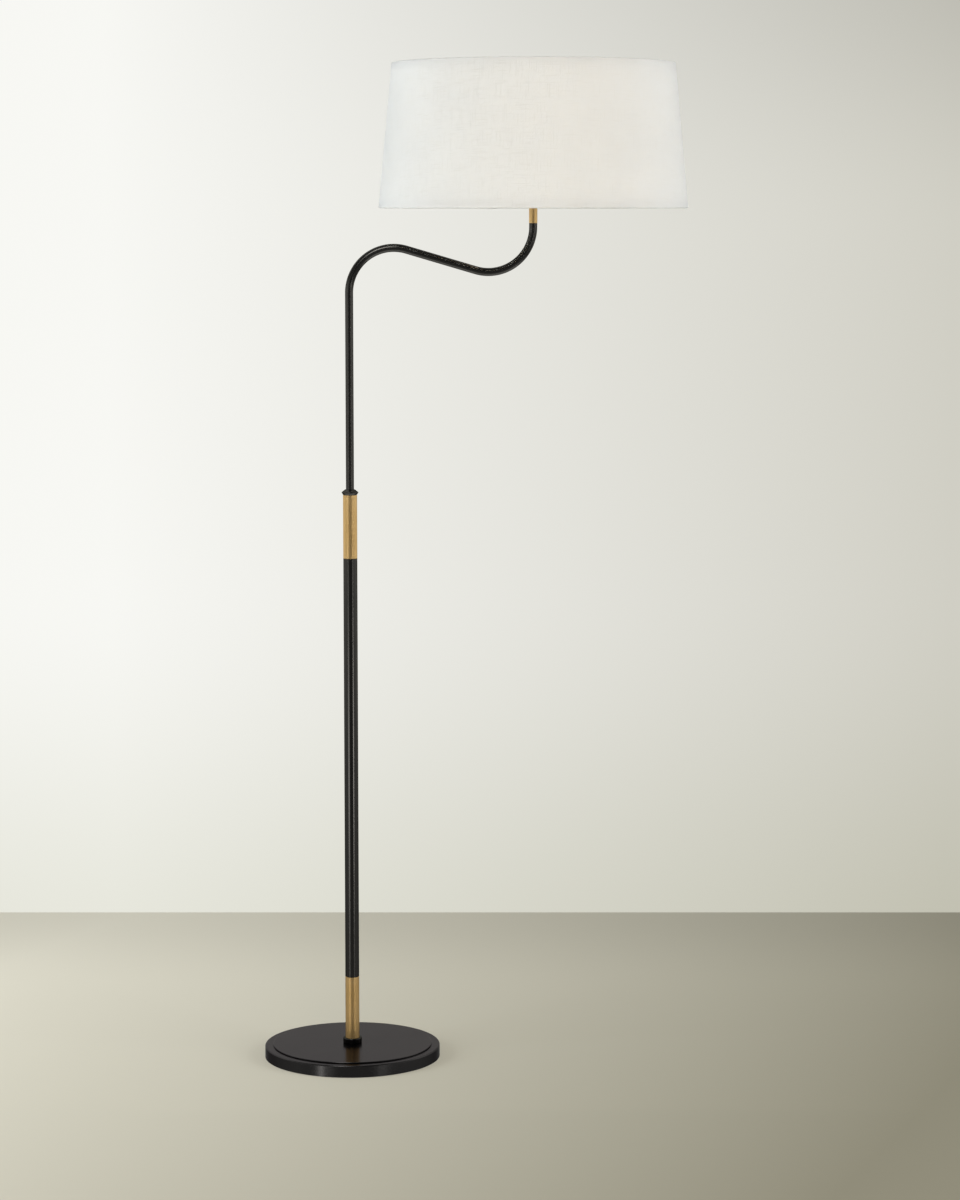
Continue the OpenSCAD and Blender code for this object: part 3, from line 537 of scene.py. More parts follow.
brass_plate = plated_metal("brass_plate", (0.74, 0.56, 0.28), (0.62, 0.43, 0.18), 0.22, 0.34)
contact_brass = plated_metal("contact_brass", (0.80, 0.66, 0.36), (0.70, 0.54, 0.27), 0.18, 0.30)
zinc_steel = plated_metal("zinc_steel", (0.62, 0.63, 0.64), (0.60, 0.59, 0.50), 0.24, 0.42)
bulb_alloy = plated_metal("bulb_alloy", (0.76, 0.76, 0.76), (0.66, 0.66, 0.66), 0.24, 0.36)

# %% [markdown]
# ## Blackened bronze
#
# The tubes, the collars and the base are metal that was blackened and then lacquered. It is
# a metal finish, so it mirrors even where it is looked at squarely, but only weakly. The
# specular tint holds back the mirroring at glancing angles, which keeps the top of the base
# dark against the pale wall. A faint orange peel from the lacquer breaks up the highlights.
# The arm slides in its bushes, so its black is rubbed duller and blurs what it mirrors. The
# wires of the shade are lacquered white.

# %% Make the lacquered metals
WEAR_SCALE = 14.0
WEAR_SPAN = (0.25, 0.75)


def lacquered(name, colour, tint, smooth, rough, peel_size, peel_depth, **constants):
    material, tree, shader = new_finish(name, **constants)
    peel = noise(tree, place(tree), 1 / peel_size)
    worn = noise(tree, place(tree), WEAR_SCALE, detail=5.0, roughness=0.65)
    drive(
        tree, shader,
        Base_Color=between(tree, spread(tree, worn, *NOISE_SPAN), colour, tint),
        Roughness=spread(tree, worn, *WEAR_SPAN, smooth, rough),
        Normal=bump(tree, peel, peel_depth),
    )
    return material


thin_lacquer = {
    "peel_size": 0.0011, "peel_depth": 0.0000008,
    "Metallic": 1.0, "Specular_Tint": opaque((0.35, 0.35, 0.34)),
}
satin_black = lacquered(
    "satin_black", (0.070, 0.068, 0.065), (0.083, 0.080, 0.076), 0.11, 0.15, **thin_lacquer,
)
rubbed_black = lacquered(
    "rubbed_black", (0.072, 0.070, 0.067), (0.085, 0.082, 0.078), 0.21, 0.26, **thin_lacquer,
)
bronze_black = lacquered(
    "bronze_black", (0.062, 0.060, 0.061), (0.073, 0.070, 0.071), 0.17, 0.23,
    peel_size=0.003, peel_depth=0.000004,
    Metallic=1.0, Specular_Tint=opaque((0.47, 0.46, 0.47)),
)
white_wire = lacquered(
    "white_wire", (0.84, 0.84, 0.81), (0.78, 0.78, 0.74), 0.28, 0.40,
    peel_size=0.0012, peel_depth=0.00003,
)

# %% [markdown]
# ## Moulded pieces, iron, paper and felt
#
# Hidden pieces have plain materials of their own. Nylon passes a little light, and phenolic
# is dark brown with paler specks of filler. Cast iron, paper board and felt are rough.

# %% Make moulded pieces
FLECK_SIZE = 0.0015
FLECK_EDGE = (0.5, 0.75)
ROUGH_SWING = 0.06
MOULD_GRAIN = 2600.0
MOULD_GRAIN_DEPTH = 0.00001


def moulded(name, colour, fleck, rough, **constants):
    material, tree, shader = new_finish(name, **constants)
    flecks = noise(tree, place(tree), 1 / FLECK_SIZE, detail=3.0, roughness=0.7)
    drive(
        tree, shader,
        Base_Color=between(tree, spread(tree, flecks, *FLECK_EDGE), colour, fleck),
        Roughness=spread(tree, flecks, *NOISE_SPAN, rough - ROUGH_SWING, rough + ROUGH_SWING),
        Normal=bump(tree, noise(tree, place(tree), MOULD_GRAIN), MOULD_GRAIN_DEPTH),
    )
    return material


natural_nylon = moulded(
    "natural_nylon", (0.80, 0.77, 0.68), (0.72, 0.69, 0.60), 0.42,
    Subsurface_Weight=0.25, Subsurface_Scale=0.002,
)
bushing_nylon = moulded("bushing_nylon", (0.012, 0.012, 0.012), (0.020, 0.020, 0.020), 0.46)
phenolic = moulded("phenolic", (0.030, 0.018, 0.013), (0.085, 0.055, 0.040), 0.38)
knob_black = moulded("knob_black", (0.014, 0.011, 0.010), (0.022, 0.018, 0.016), 0.30)
bulb_black_glass = moulded("bulb_black_glass", (0.010, 0.010, 0.022), (0.016, 0.016, 0.034), 0.12)

# %% Make iron and paper board
def fibrous(name, colour, fibre, rough, size, depth, stretch=(1, 1, 1)):
    material, tree, shader = new_finish(name, Roughness=rough)
    grain = noise(tree, place(tree, stretch), 1 / size, detail=6.0, roughness=0.7)
    drive(
        tree, shader,
        Base_Color=between(tree, spread(tree, grain, *NOISE_CORE), colour, fibre),
        Normal=bump(tree, grain, depth),
    )
    return material


cast_weight = fibrous(
    "cast_weight", (0.045, 0.043, 0.042), (0.085, 0.078, 0.072), rough=0.72,
    size=0.0018, depth=0.0003,
)
paper_liner = fibrous(
    "paper_liner", (0.40, 0.29, 0.17), (0.52, 0.40, 0.26), rough=0.78,
    size=0.0012, depth=0.00006, stretch=(1, 1, 4),
)

# %% Make felt
FELT_FIBRE = 0.0006
FELT_DEPTH = 0.00035
FELT_TONES = ((0.018, 0.018, 0.019), (0.060, 0.059, 0.060))
FELT_SPAN = (0.5, 1.1)
FLAT_FIBRES = (1, 1, 2.5)
MATTED_SCALE = 90.0
MATTED_SHARE = 0.6


def felt_finish():
    sheen = {"Sheen_Weight": 0.35, "Sheen_Roughness": 0.5}
    material, tree, shader = new_finish("felt", Roughness=0.95, **sheen)
    tufts = noise(tree, place(tree, FLAT_FIBRES), 1 / FELT_FIBRE, detail=5.0, roughness=0.75)
    matted = noise(tree, place(tree), MATTED_SCALE, detail=3.0, roughness=0.6)
    height = calculate(tree, "ADD", tufts, product(tree, matted, MATTED_SHARE))
    tone = between(tree, spread(tree, height, *FELT_SPAN), *FELT_TONES)
    drive(tree, shader, Base_Color=tone, Normal=bump(tree, height, FELT_DEPTH))
    return material


felt = felt_finish()

# %% [markdown]
# ## Linen, its backing and the bulb
#
# Linen is a plain weave of uneven threads: each thread goes over one and under the next, and
# here and there it swells into a slub. The pattern reads the cloth's own UV map, which is in
# metres on the flat cut, so that the threads follow the cut and not the lamp. The weave gives
# the bump and lets more light through between the threads than where a slub is.

# %% Weave the linen
THREAD = 0.00055
THREAD_CROSSING = 0.25
SLUB_LENGTH = 0.035
SLUB_WIDTH = 0.0009
SLUB_EDGE = (0.56, 0.74)


def wave(tree, value, period):
    return calculate(tree, "SINE", product(tree, value, math.pi / period))


def woven_height(tree, across, along):
    warp = wave(tree, across, THREAD)
    weft = wave(tree, along, THREAD)
    over = spread(tree, product(tree, warp, weft), -THREAD_CROSSING, THREAD_CROSSING)
    from_warp = product(tree, calculate(tree, "ABSOLUTE", warp), over)
    under = calculate(tree, "SUBTRACT", 1.0, over)
    from_weft = product(tree, calculate(tree, "ABSOLUTE", weft), under)
    return calculate(tree, "ADD", from_warp, from_weft)


def slubs(tree):
    lying = noise(tree, place(tree, (1 / SLUB_LENGTH, 1 / SLUB_WIDTH, 1), "UV"), 1.0)
    standing = noise(tree, place(tree, (1 / SLUB_WIDTH, 1 / SLUB_LENGTH, 1), "UV"), 1.0)
    longest = calculate(tree, "MAXIMUM", lying, standing)
    return spread(tree, longest, *SLUB_EDGE, kind="SMOOTHSTEP")


# %% Make the linen
CLOTH_TONES = ((0.872, 0.874, 0.872), (0.892, 0.894, 0.892))
SLUB_TONE = (0.82, 0.815, 0.795)
SLUB_TONE_SHARE = 0.5
BLOTCHES = (9, 9, 9)
WEAVE_SHARE = 0.5
WEAVE_DEPTH = 0.00018
LIGHT_THROUGH = (0.58, 0.40)


def let_through(tree, shader, share, colour, **relief):
    """Lets a share of the light through a cloth or a film, scattered on its way."""
    through = out(tree, "ShaderNodeBsdfTranslucent", {"Color": colour, **relief})
    cover(tree, share, shader.outputs[0], through)


def linen_finish():
    sheen = {"Sheen_Weight": 0.12, "Sheen_Roughness": 0.4}
    material, tree, shader = new_finish("linen", Roughness=0.85, **sheen)
    flat = split(tree, place(tree, source="UV"))
    weave = woven_height(tree, flat["X"], flat["Y"])
    thick = slubs(tree)
    blotch = noise(tree, place(tree, BLOTCHES, "UV"), 1.0, detail=3.0)
    cloth = between(tree, spread(tree, blotch, *NOISE_SPAN), *CLOTH_TONES)
    slub_tone = product(tree, thick, SLUB_TONE_SHARE)
    thread = mix_colour(tree, slub_tone, cloth, opaque(SLUB_TONE))
    height = calculate(tree, "ADD", product(tree, weave, WEAVE_SHARE), thick)
    relief = bump(tree, height, WEAVE_DEPTH)
    drive(tree, shader, Base_Color=thread, Normal=relief)
    density = calculate(tree, "SUBTRACT", thick, weave)
    through = spread(tree, density, -1.0, 1.0, *LIGHT_THROUGH)
    let_through(tree, shader, through, thread, Normal=relief)
    return material


linen = linen_finish()

# %% [markdown]
# The linen is glued to a stiff white film that keeps the drum round. The bulb's glass is
# frosted inside, so the whole glass glows evenly. Its light is warm, and weak beside the
# daylight of the room: it only warms the middle of the shade.

# %% Make the backing and the glowing glass
FILM_TONES = ((0.88, 0.88, 0.87), (0.90, 0.90, 0.89))
FILM_CLOUDS = 60.0
FILM_GRAIN = 420.0
FILM_GRAIN_DEPTH = 0.00004
FILM_THROUGH = 0.70
FROST_SCALE = 900.0
FROST_DEPTH = 0.00002
FROST_ROUGHNESS = (0.32, 0.46)
BULB_GLOW = 8.0


def backing_finish():
    material, tree, shader = new_finish("shade_backing", Roughness=0.42, IOR=1.5)
    cloudy = noise(tree, place(tree), FILM_CLOUDS, detail=3.0)
    white = between(tree, spread(tree, cloudy, *NOISE_SPAN), *FILM_TONES)
    grain = bump(tree, noise(tree, place(tree), FILM_GRAIN), FILM_GRAIN_DEPTH)
    drive(tree, shader, Base_Color=white, Normal=grain)
    let_through(tree, shader, FILM_THROUGH, white)
    return material


def bulb_finish():
    glow = {"Emission_Color": opaque((1.0, 0.80, 0.56)), "Emission_Strength": BULB_GLOW}
    glass = opaque((0.9, 0.88, 0.84))
    material, tree, shader = new_finish("bulb_frost", Base_Color=glass, **glow)
    frost = noise(tree, place(tree), FROST_SCALE, detail=3.0)
    rough = spread(tree, frost, *NOISE_SPAN, *FROST_ROUGHNESS)
    drive(tree, shader, Roughness=rough, Normal=bump(tree, frost, FROST_DEPTH))
    return material


shade_backing = backing_finish()
bulb_frost = bulb_finish()

# %% [markdown]
# ## Give the frame its finishes
#
# The solids whose shape is right stay as they are and only get a finish. The list says which
# finish each group of them has, by what it is made of.

# %% Dress the solids
FINISHES = {
    bronze_black: ["base_cover"],
    satin_black: ["foot_collar", "stem_tube"],
    rubbed_black: ["lock_collar"],
    brushed_brass: ["lower_sleeve", "upper_sleeve", "neck_ferrule"],
    brass_plate: [
        "harp_saddle", "harp", "harp_stud", "harp_lock_left", "harp_lock_right", "finial",
        "socket_cap", "socket_shell",
    ],
    zinc_steel: [
        "base_nut", "base_lock_washer", "base_nipple", "foot_plug", "guide_bush",
        "slider_stop_ring", "neck_nipple", "socket_locknut", "switch_shaft",
    ],
    raw_steel: ["stem_liner"],
    cast_weight: ["base_weight"],
    natural_nylon: ["lock_collet", "slider_bush"],
    bushing_nylon: ["cord_bushing", "tube_end_bush"],
    phenolic: ["socket_body"],
    knob_black: ["switch_knob"],
    contact_brass: ["socket_contact"],
    paper_liner: ["socket_liner"],
    bulb_black_glass: ["bulb_insulator"],
    bulb_frost: ["bulb_glass"],
    white_wire: ["shade_spider", "shade_bottom_ring"],
    shade_backing: ["shade_backing"],
}


def dress(solid, material):
    if not solid.material_slots:
        solid.data.materials.append(material)
    for slot in solid.material_slots:
        slot.material = material


for material, names in FINISHES.items():
    for name in names:
        dress(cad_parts[name], material)
print("dressed", sum(len(names) for names in FINISHES.values()), "solids")

# %% [markdown]
# ## Helpers for Geometry Nodes
#
# A tree works on a guide: a line of points drawn in the script. The guide carries what the
# tree has to know at each point, such as how far along the line it is, as attributes. The
# result becomes a plain mesh, and the guide is deleted with its modifier.

# %% Draw a guide and start a tree
def guide_line(name, points, **attributes):
    mesh = bpy.data.meshes.new(name)
    mesh.from_pydata(points, [(i, i + 1) for i in range(len(points) - 1)], [])
    for label, values in attributes.items():
        vector = hasattr(values[0], "__len__")
        layer = mesh.attributes.new(label, "FLOAT_VECTOR" if vector else "FLOAT", "POINT")
        flat = [x for value in values for x in value] if vector else values
        layer.data.foreach_set("vector" if vector else "value", flat)
    return new_object(name, mesh)


def new_tree(name, **sockets):
    """A tree with a geometry input and output, and the outputs of its input node by name."""
    tree = bpy.data.node_groups.new(name, "GeometryNodeTree")
    tree.is_modifier = True
    tree.interface.new_socket("Geometry", in_out="INPUT", socket_type="NodeSocketGeometry")
    for label, kind in sockets.items():
        shown = label.replace("_", " ")
        tree.interface.new_socket(shown, in_out="INPUT", socket_type="NodeSocket" + kind)
    tree.interface.new_socket("Geometry", in_out="OUTPUT", socket_type="NodeSocketGeometry")
    return tree, tree.nodes.new("NodeGroupInput").outputs


def end_tree(tree, geometry, material):
    smooth = out(tree, "GeometryNodeSetShadeSmooth", {"Geometry": geometry})
    plain = out(tree, "GeometryNodeRealizeInstances", {"Geometry": smooth})
    dressed = out(tree, "GeometryNodeSetMaterial", {"Geometry": plain, "Material": material})
    add(tree, "NodeGroupOutput", {0: dressed})


# %% Grow a piece
SHARP_ANGLE = math.radians(40)


def plain_mesh(source):
    bpy.context.view_layer.update()
    evaluated = source.evaluated_get(bpy.context.evaluated_depsgraph_get())
    return bpy.data.meshes.new_from_object(evaluated)


def grow(name, guide, tree, **values):
    modifier = guide.modifiers.new("grow", "NODES")
    modifier.node_group = tree
    for item in tree.interface.items_tree:
        label = item.name.replace(" ", "_")
        if item.in_out == "INPUT" and label in values:
            modifier[item.identifier] = values[label]
    mesh = plain_mesh(guide)
    bpy.data.objects.remove(guide)
    mesh.name = name
    return new_object(name, mesh)


def give_wall(piece, thickness, side):
    """Thickens an open surface: side is -1 for inwards only and 0 for half each way."""
    modifier = piece.modifiers.new("wall", "SOLIDIFY")
    modifier.thickness = thickness
    modifier.offset = side
    modifier.use_even_offset = True
    mesh = plain_mesh(piece)
    piece.modifiers.clear()
    piece.data = mesh
    piece.data.set_sharp_from_angle(angle=SHARP_ANGLE)


# %% [markdown]
# ## The arm tube
#
# The arm is one tube: up out of the stem, over in a bend, down a gentle slope, and up again
# in an equal bend to the shade. Two bends of one radius and three straight runs are a rule
# with few numbers, so the path is worked out from them. The tree sweeps a circle along it.

# %% Work out the arm's path
ARM_DIAMETER = 0.0127
ARM_WALL = 0.0012
BEND_RADIUS = 0.070
DROOP = math.radians(16.4)
ARM_TOP_RUN = 0.0058
BEND_STEPS = 56
TUBE_SIDES = 64

arm_low, arm_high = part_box("arm_tube")
ferrule_low, ferrule_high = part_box("neck_ferrule")
reach = (ferrule_low.x + ferrule_high.x) / 2
slope_length = (reach - 2 * BEND_RADIUS * (1 + math.sin(DROOP))) / math.cos(DROOP)
bend_rise = 2 * BEND_RADIUS * math.cos(DROOP) - slope_length * math.sin(DROOP)
first_bend = arm_high.z - ARM_TOP_RUN - bend_rise


def bend_points(x, z, start, end):
    """Points of a bend round a centre in the plane of X and Z."""
    turns = [start + (end - start) * i / BEND_STEPS for i in range(BEND_STEPS + 1)]
    return [(x + BEND_RADIUS * math.cos(t), 0, z + BEND_RADIUS * math.sin(t)) for t in turns]


arm_path = [
    (0, 0, arm_low.z),
    *bend_points(BEND_RADIUS, first_bend, math.pi, math.pi / 2 - DROOP),
    *bend_points(reach - BEND_RADIUS, first_bend + bend_rise, -math.pi / 2 - DROOP, 0),
    (reach, 0, arm_high.z),
]
print("arm path of", len(arm_path), "points, sloping for", round(slope_length * 1000, 1), "mm")

# %% Sweep the arm tube
def swept_tube_tree():
    tree, given = new_tree("Swept tube", Radius="Float", Sides="Int", Material="Material")
    path = out(tree, "GeometryNodeMeshToCurve", {"Mesh": given["Geometry"]})
    round_profile = {"Resolution": given["Sides"], "Radius": given["Radius"]}
    ring = add(tree, "GeometryNodeCurvePrimitiveCircle", round_profile).outputs["Curve"]
    skin = add(tree, "GeometryNodeCurveToMesh", {"Curve": path, "Profile Curve": ring})
    end_tree(tree, skin.outputs[0], given["Material"])
    return tree


swept_tube = swept_tube_tree()
arm = grow(
    "bent_arm_tube", guide_line("arm_guide", arm_path), swept_tube,
    Radius=ARM_DIAMETER / 2, Sides=TUBE_SIDES, Material=rubbed_black,
)
give_wall(arm, ARM_WALL, -1)
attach(arm, "arm")
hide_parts("arm_tube")
print("arm tube", len(arm.data.polygons), "faces")

# %% [markdown]
# ## A tree for turned forms
#
# The shade, the felt disc and the lamp's two screw shells are all turned round an axis. One
# tree makes them: it lays a grid, reads the guide's point for each row of the grid, and
# swings it round the axis for each column. The guide says which way is outwards at each
# point. So the last columns can be lifted over the first ones, where cloth overlaps, and a
# thread can swell out in a helix. Slits let the arms of the wire spider through. The tree
# divides by the lap and by the pitch, so a form without them gives any value but 0.

# %% Swing, lift and cut a point
def push_out(tree, given, angle, height, threaded):
    """How far a point moves outwards, over the lap and up a thread's ridge."""
    full = calculate(tree, "ADD", given["Start"], math.tau)
    lap_starts = calculate(tree, "SUBTRACT", full, given["Overlap"])
    lifted = product(tree, spread(tree, angle, lap_starts, full, kind="SMOOTHSTEP"), given["Lift"])
    climb = product(tree, calculate(tree, "DIVIDE", height, given["Thread Pitch"]), math.tau)
    ridge = calculate(tree, "SINE", calculate(tree, "SUBTRACT", climb, angle))
    return calculate(tree, "ADD", lifted, product(tree, ridge, threaded, given["Thread Depth"]))


def swing(tree, section, angle):
    """Turns a point of the section round the axis, from the front to the right."""
    part = split(tree, section)
    backwards = product(tree, calculate(tree, "COSINE", angle), -1.0)
    return out(tree, "ShaderNodeCombineXYZ", {
        "X": product(tree, part["X"], calculate(tree, "SINE", angle)),
        "Y": product(tree, part["X"], backwards),
        "Z": part["Z"],
    })


def unroll(tree, given, angle, along):
    """Where a point lies on the flat cut, which is a sector of a ring."""
    flat_out = calculate(tree, "SUBTRACT", given["Flat Radius"], along)
    flat_turn = product(tree, angle, given["Flat Share"])
    return out(tree, "ShaderNodeCombineXYZ", {
        "X": product(tree, flat_out, calculate(tree, "SINE", flat_turn)),
        "Y": product(tree, flat_out, calculate(tree, "COSINE", flat_turn)),
    })


def in_slit(tree, given, angle, along):
    """1 in a slit and 0 elsewhere. Slits are spaced evenly and run to the last row."""
    period = calculate(tree, "DIVIDE", math.tau, calculate(tree, "MAXIMUM", given["Slits"], 1.0))
    in_period = calculate(tree, "FLOORED_MODULO", angle, period)
    off_middle = calculate(tree, "SUBTRACT", in_period, product(tree, period, 0.5))
    near = calculate(tree, "LESS_THAN", calculate(tree, "ABSOLUTE", off_middle), given["Slit Half"])
    past = calculate(tree, "GREATER_THAN", along, given["Slit From"])
    return product(tree, near, past, calculate(tree, "GREATER_THAN", given["Slits"], 0.5))


# %% Build the tree for turned forms
MERGED_WITHIN = 0.000005


def named(tree, label, kind="FLOAT"):
    values = {"Name": label}
    return out(tree, "GeometryNodeInputNamedAttribute", values, data_type=kind)


def store(tree, geometry, label, value, kind, domain):
    values = {"Geometry": geometry, "Name": label, "Value": value}
    return out(tree, "GeometryNodeStoreNamedAttribute", values, data_type=kind, domain=domain)


def turned_tree():
    tree, given = new_tree(
        "Turned form", Centre="Vector", Start="Float", Sweep="Float", Columns="Int",
        Overlap="Float", Lift="Float", Thread_Depth="Float", Thread_Pitch="Float",
        Flat_Radius="Float", Flat_Share="Float", Slits="Int", Slit_From="Float",
        Slit_Half="Float", Material="Material",
    )
    guide = given["Geometry"]
    rows = out(tree, "GeometryNodeAttributeDomainSize", {0: guide}, component="MESH")
    grid = add(tree, "GeometryNodeMeshGrid", {
        "Size X": 1.0, "Size Y": 1.0,
        "Vertices X": calculate(tree, "ADD", given["Columns"], 1.0), "Vertices Y": rows,
    }).outputs["Mesh"]
    position = out(tree, "GeometryNodeInputPosition")
    spot = split(tree, position)
    around = calculate(tree, "ADD", spot["X"], 0.5)
    angle = calculate(tree, "MULTIPLY_ADD", around, given["Sweep"], given["Start"])
    upwards = calculate(tree, "ADD", spot["Y"], 0.5)
    last_row = calculate(tree, "SUBTRACT", rows, 1.0)
    row = calculate(tree, "ROUND", product(tree, upwards, last_row))

    def on_guide(field, kind="FLOAT"):
        values = {"Geometry": guide, "Value": field, "Index": row}
        return out(tree, "GeometryNodeSampleIndex", values, data_type=kind, domain="POINT")

    point = on_guide(position, "FLOAT_VECTOR")
    outward = on_guide(named(tree, "outward", "FLOAT_VECTOR"), "FLOAT_VECTOR")
    along = on_guide(named(tree, "along"))
    threaded = on_guide(named(tree, "threaded"))
    distance = push_out(tree, given, angle, split(tree, point)["Z"], threaded)
    push = out(tree, "ShaderNodeVectorMath", {0: outward, "Scale": distance}, operation="SCALE")
    section = out(tree, "ShaderNodeVectorMath", {0: point, 1: push}, operation="ADD")
    swung = {0: swing(tree, section, angle), 1: given["Centre"]}
    placed = out(tree, "ShaderNodeVectorMath", swung, operation="ADD")

    flat = unroll(tree, given, angle, along)
    mapped = store(tree, grid, "UVMap", flat, "FLOAT2", "CORNER")
    cut = in_slit(tree, given, angle, along)
    marked = store(tree, mapped, "cut", cut, "FLOAT", "FACE")
    moved = {"Geometry": marked, "Position": placed}
    whole = out(tree, "GeometryNodeSetPosition", moved)
    chosen = calculate(tree, "GREATER_THAN", named(tree, "cut"), 0.5)
    unwanted = {"Geometry": whole, "Selection": chosen}
    slit = out(tree, "GeometryNodeDeleteGeometry", unwanted, domain="FACE")
    clean = out(tree, "GeometryNodeRemoveAttribute", {"Geometry": slit, "Name": "cut"})
    merged = {"Geometry": clean, "Distance": MERGED_WITHIN}
    joined = out(tree, "GeometryNodeMergeByDistance", merged)
    end_tree(tree, joined, given["Material"])
    return tree


turned_form = turned_tree()
print("turned forms use", len(turned_form.nodes), "nodes")

# %% Draw the guide of a turned form
ANY_LAP = 0.01
ANY_PITCH = 1.0


def section_guide(name, section, threaded=None):
    """A guide in the plane of X and Z, and its length. Its outward side is on its right."""
    steps = [Vector(b) - Vector(a) for a, b in zip(section, section[1:])]
    along = [0.0]
    for step in steps:
        along.append(along[-1] + step.length)
    outward = []
    for before, after in zip([steps[0], *steps], [*steps, steps[-1]]):
        way = before.normalized() + after.normalized()
        outward.append(Vector((way.y, 0, -way.x)).normalized())
    points = [(x, 0, z) for x, z in section]
    weights = threaded or [0.0] * len(section)
    guide = guide_line(name, points, along=along, outward=outward, threaded=weights)
    return guide, along[-1]


# %% [markdown]
# ## The linen of the shade
#
# A drum shade is a cone, and a cone unrolls into a sector of a ring. The linen is cut to that
# sector, wrapped round the film with a narrow overlap at the back, and its long edges are
# rolled over the wire rings and glued down inside. So no hem shows from outside. Here the
# guide is the cloth's section, from cut edge to cut edge, and the tree wraps it round.

# %% Draw the cloth's section
SHADE_TOP_RADIUS = 0.220
SHADE_BOTTOM_RADIUS = 0.241
SHADE_HEIGHT = 0.223
LINEN_THICKNESS = 0.0005
RING_DOWN = 0.0019
ROLL_RADIUS = 0.0021
ROLL_TURN = math.radians(215)
ROLL_STEPS = 12
GLUED_IN = 0.00145
GLUED_EDGE = 0.012
FACE_STEPS = 24

linen_low, linen_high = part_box("shade_linen")
shade_middle = (linen_low + linen_high) / 2
shade_foot = Vector((SHADE_BOTTOM_RADIUS, -SHADE_HEIGHT / 2))
slant = Vector((SHADE_TOP_RADIUS - SHADE_BOTTOM_RADIUS, SHADE_HEIGHT))
slant_length = slant.length
up = slant.normalized()
away = Vector((up.y, -up.x))


def on_slant(outwards, upwards):
    return tuple(shade_foot + away * outwards + up * upwards)


roll_centre = -LINEN_THICKNESS / 2 - ROLL_RADIUS


def rolled_edge(mirror):
    """Points from the glued edge round the ring to the face, from the shade's edge."""
    leave = -ROLL_TURN
    back = math.tan(math.pi / 2 - (ROLL_TURN - math.pi))
    tangent_out = roll_centre + ROLL_RADIUS * math.cos(leave)
    tangent_up = RING_DOWN + ROLL_RADIUS * math.sin(leave)
    glue_up = tangent_up + (-GLUED_IN - tangent_out) * back
    glued = [GLUED_EDGE, (GLUED_EDGE + glue_up) / 2, glue_up]
    points = [(-GLUED_IN, upwards) for upwards in glued]
    for i in range(ROLL_STEPS + 1):
        turn = leave * (1 - i / ROLL_STEPS)
        outwards = roll_centre + ROLL_RADIUS * math.cos(turn)
        points.append((outwards, RING_DOWN + ROLL_RADIUS * math.sin(turn)))
    if mirror:
        points = [(outwards, slant_length - upwards) for outwards, upwards in reversed(points)]
    return points


face = [
    (-LINEN_THICKNESS / 2, RING_DOWN + (slant_length - 2 * RING_DOWN) * i / FACE_STEPS)
    for i in range(1, FACE_STEPS)
]
cloth_section = [on_slant(*p) for p in [*rolled_edge(False), *face, *rolled_edge(True)]]
linen_guide, cloth_length = section_guide("linen_guide", cloth_section)
print("cloth is", round(cloth_length * 1000, 1), "mm from cut edge to cut edge")

# %% Wrap the linen
SEAM_TURN = math.radians(-165)
LAP_TURN = math.radians(3)
LAP_LIFT = 0.0006
COLUMN_TURN = math.radians(0.75)
SPIDER_ARMS = 3
SLIT_PAST_GLUE = 1.5 * ROLL_RADIUS

cone_share = (SHADE_BOTTOM_RADIUS - SHADE_TOP_RADIUS) / slant_length
rolled_in = (cloth_length - slant_length) / 2
outer_flat = SHADE_BOTTOM_RADIUS / cone_share + rolled_in
sweep = math.tau + LAP_TURN
linen_panel = grow(
    "linen_panel", linen_guide, turned_form,
    Centre=shade_middle, Start=SEAM_TURN, Sweep=sweep, Columns=round(sweep / COLUMN_TURN),
    Overlap=LAP_TURN, Lift=LAP_LIFT, Thread_Pitch=ANY_PITCH, Flat_Radius=outer_flat,
    Flat_Share=cone_share, Slits=SPIDER_ARMS, Slit_Half=COLUMN_TURN,
    Slit_From=cloth_length - GLUED_EDGE - SLIT_PAST_GLUE, Material=linen,
)
give_wall(linen_panel, LINEN_THICKNESS, 0)
print("linen panel", len(linen_panel.data.polygons), "faces")

# %% [markdown]
# The sector's angle is the turn round the lamp times the cone's share, and its width is the
# section's length.

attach(linen_panel, "arm")
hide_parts("shade_linen", "shade_top_hem", "shade_bottom_hem")

# %% [markdown]
# ## The felt under the base
#
# The felt disc shows as a thin dark line between the base and the floor. It is turned from a
# section with soft corners, closed at its middle.

# %% Turn the felt disc
FELT_CORNER = 0.0006
CORNER_STEPS = 4
FELT_RINGS = 5
FELT_COLUMNS = 180

felt_low, felt_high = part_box("base_pad")
felt_radius = (felt_high.x - felt_low.x) / 2
felt_thick = felt_high.z - felt_low.z


def soft_corner(x, z, start):
    turns = [start + math.pi / 2 * i / CORNER_STEPS for i in range(CORNER_STEPS + 1)]
    return [(x + FELT_CORNER * math.cos(t), z + FELT_CORNER * math.sin(t)) for t in turns]


inner_radius = felt_radius - FELT_CORNER
rings = [inner_radius * i / FELT_RINGS for i in range(FELT_RINGS)]
felt_section = [
    *[(r, 0) for r in rings],
    *soft_corner(inner_radius, FELT_CORNER, -math.pi / 2),
    *soft_corner(inner_radius, felt_thick - FELT_CORNER, 0),
    *[(r, felt_thick) for r in reversed(rings)],
]
felt_guide, _ = section_guide("felt_guide", felt_section)
felt_disc = grow(
    "felt_disc", felt_guide, turned_form,
    Centre=Vector((0, 0, felt_low.z)), Sweep=math.tau, Columns=FELT_COLUMNS,
    Overlap=ANY_LAP, Thread_Pitch=ANY_PITCH, Material=felt,
)
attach(felt_disc, "stem")
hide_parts("base_pad")
print("felt disc", round(2000 * felt_radius), "mm across")

# %% [markdown]
# ## The screw shells of the lamp holder and the bulb
#
# Both shells are rolled from thin sheet, so their thread is a soft wave and not a cut groove.
# The bulb's shell and the holder's shell have the same wave, a hair apart, or the bulb would
# not turn in. The wave fades out at both ends.

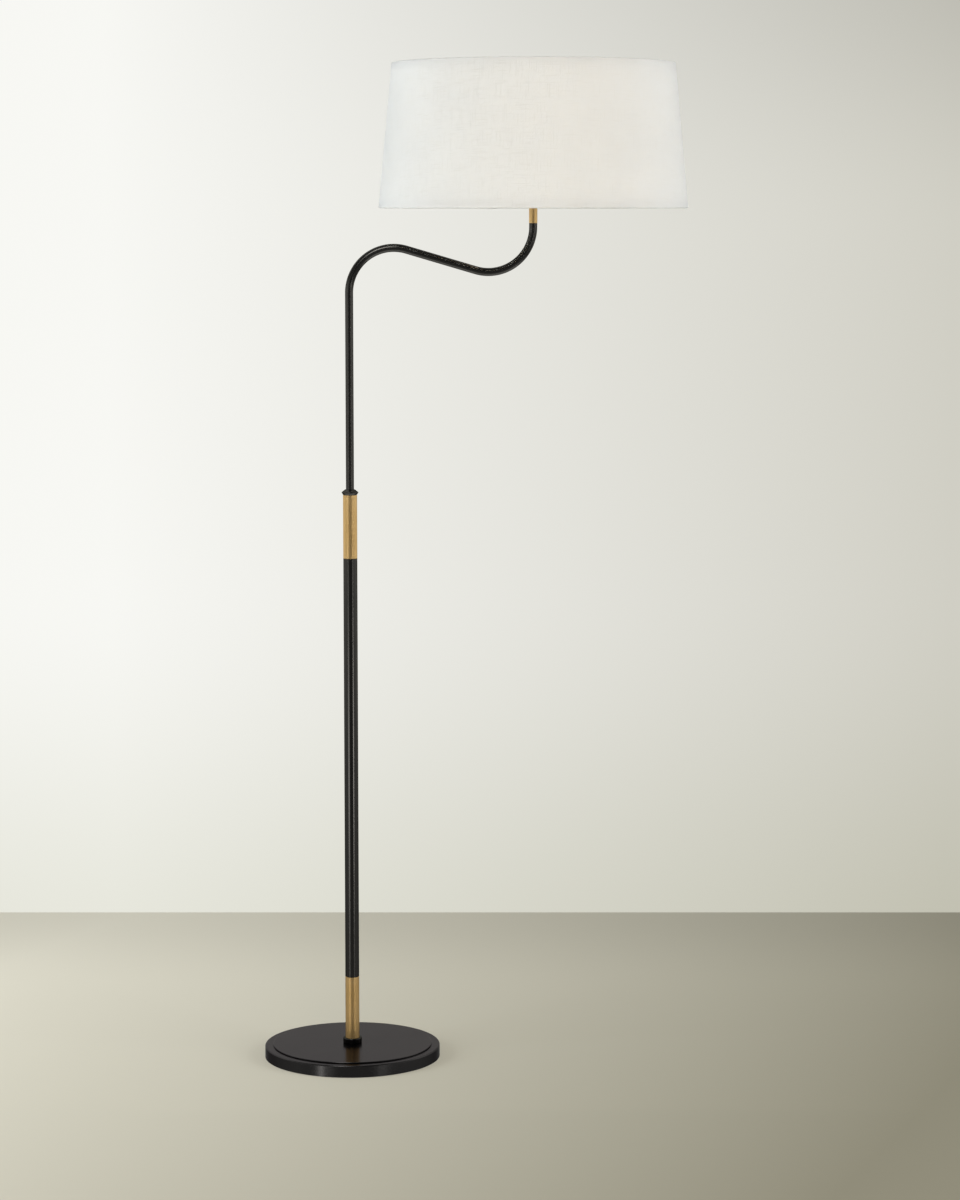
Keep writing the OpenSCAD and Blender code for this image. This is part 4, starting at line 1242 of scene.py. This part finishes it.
# %% Turn the screw shells
BULB_SHELL_RADIUS = 0.01255
BULB_FOOT_RADIUS = 0.0108
HOLDER_SHELL_RADIUS = 0.01325
HOLDER_FOOT_RADIUS = 0.006
SHELL_SHEET = 0.0003
SHELL_COLUMNS = 96
SHELL_ROWS = 72
RIM = 0.0006
THREAD_PITCH = 0.00363
THREAD_DEPTH = 0.00042
THREAD_FADE = 0.0018
PLAIN_BELOW = 0.001
PLAIN_ABOVE = 0.0015


def thread_share(height, low, high):
    return max(0.0, min(1.0, (height - low) / THREAD_FADE, (high - height) / THREAD_FADE))


def screw_shell(name, node, radius, foot_radius, material):
    low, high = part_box(node)
    centre = (low + high) / 2
    half = (high.z - low.z) / 2
    step = (2 * half - RIM) / SHELL_ROWS
    heights = [-half + RIM + step * i for i in range(SHELL_ROWS + 1)]
    section = [(foot_radius, -half), (radius - RIM, -half), *[(radius, z) for z in heights]]
    thread = (-half + PLAIN_BELOW, half - PLAIN_ABOVE)
    weights = [0.0, 0.0, *[thread_share(z, *thread) for z in heights]]
    guide, _ = section_guide(name + "_guide", section, weights)
    made = grow(
        name, guide, turned_form,
        Centre=centre, Sweep=math.tau, Columns=SHELL_COLUMNS, Overlap=ANY_LAP,
        Thread_Depth=THREAD_DEPTH, Thread_Pitch=THREAD_PITCH, Material=material,
    )
    give_wall(made, SHELL_SHEET, -1)
    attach(made, "arm")
    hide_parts(node)


screw_shell(
    "bulb_screw_shell", "bulb_base", BULB_SHELL_RADIUS, BULB_FOOT_RADIUS,
    bulb_alloy,
)
screw_shell(
    "holder_screw_shell", "socket_screw_shell", HOLDER_SHELL_RADIUS, HOLDER_FOOT_RADIUS,
    contact_brass,
)
print("two screw shells, thread pitch", THREAD_PITCH * 1000, "mm")

# %% [markdown]
# ## How much the looks grow the lamp
#
# The looks must not change the lamp's size, so both boxes are kept side by side.

# %% Measure how much the looks grow the lamp
visual_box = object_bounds()
growth = [round(1000 * (b - a), 2) for a, b in zip(cad_box[1], visual_box[1])]
print("grown by", growth, "mm at the top corner")
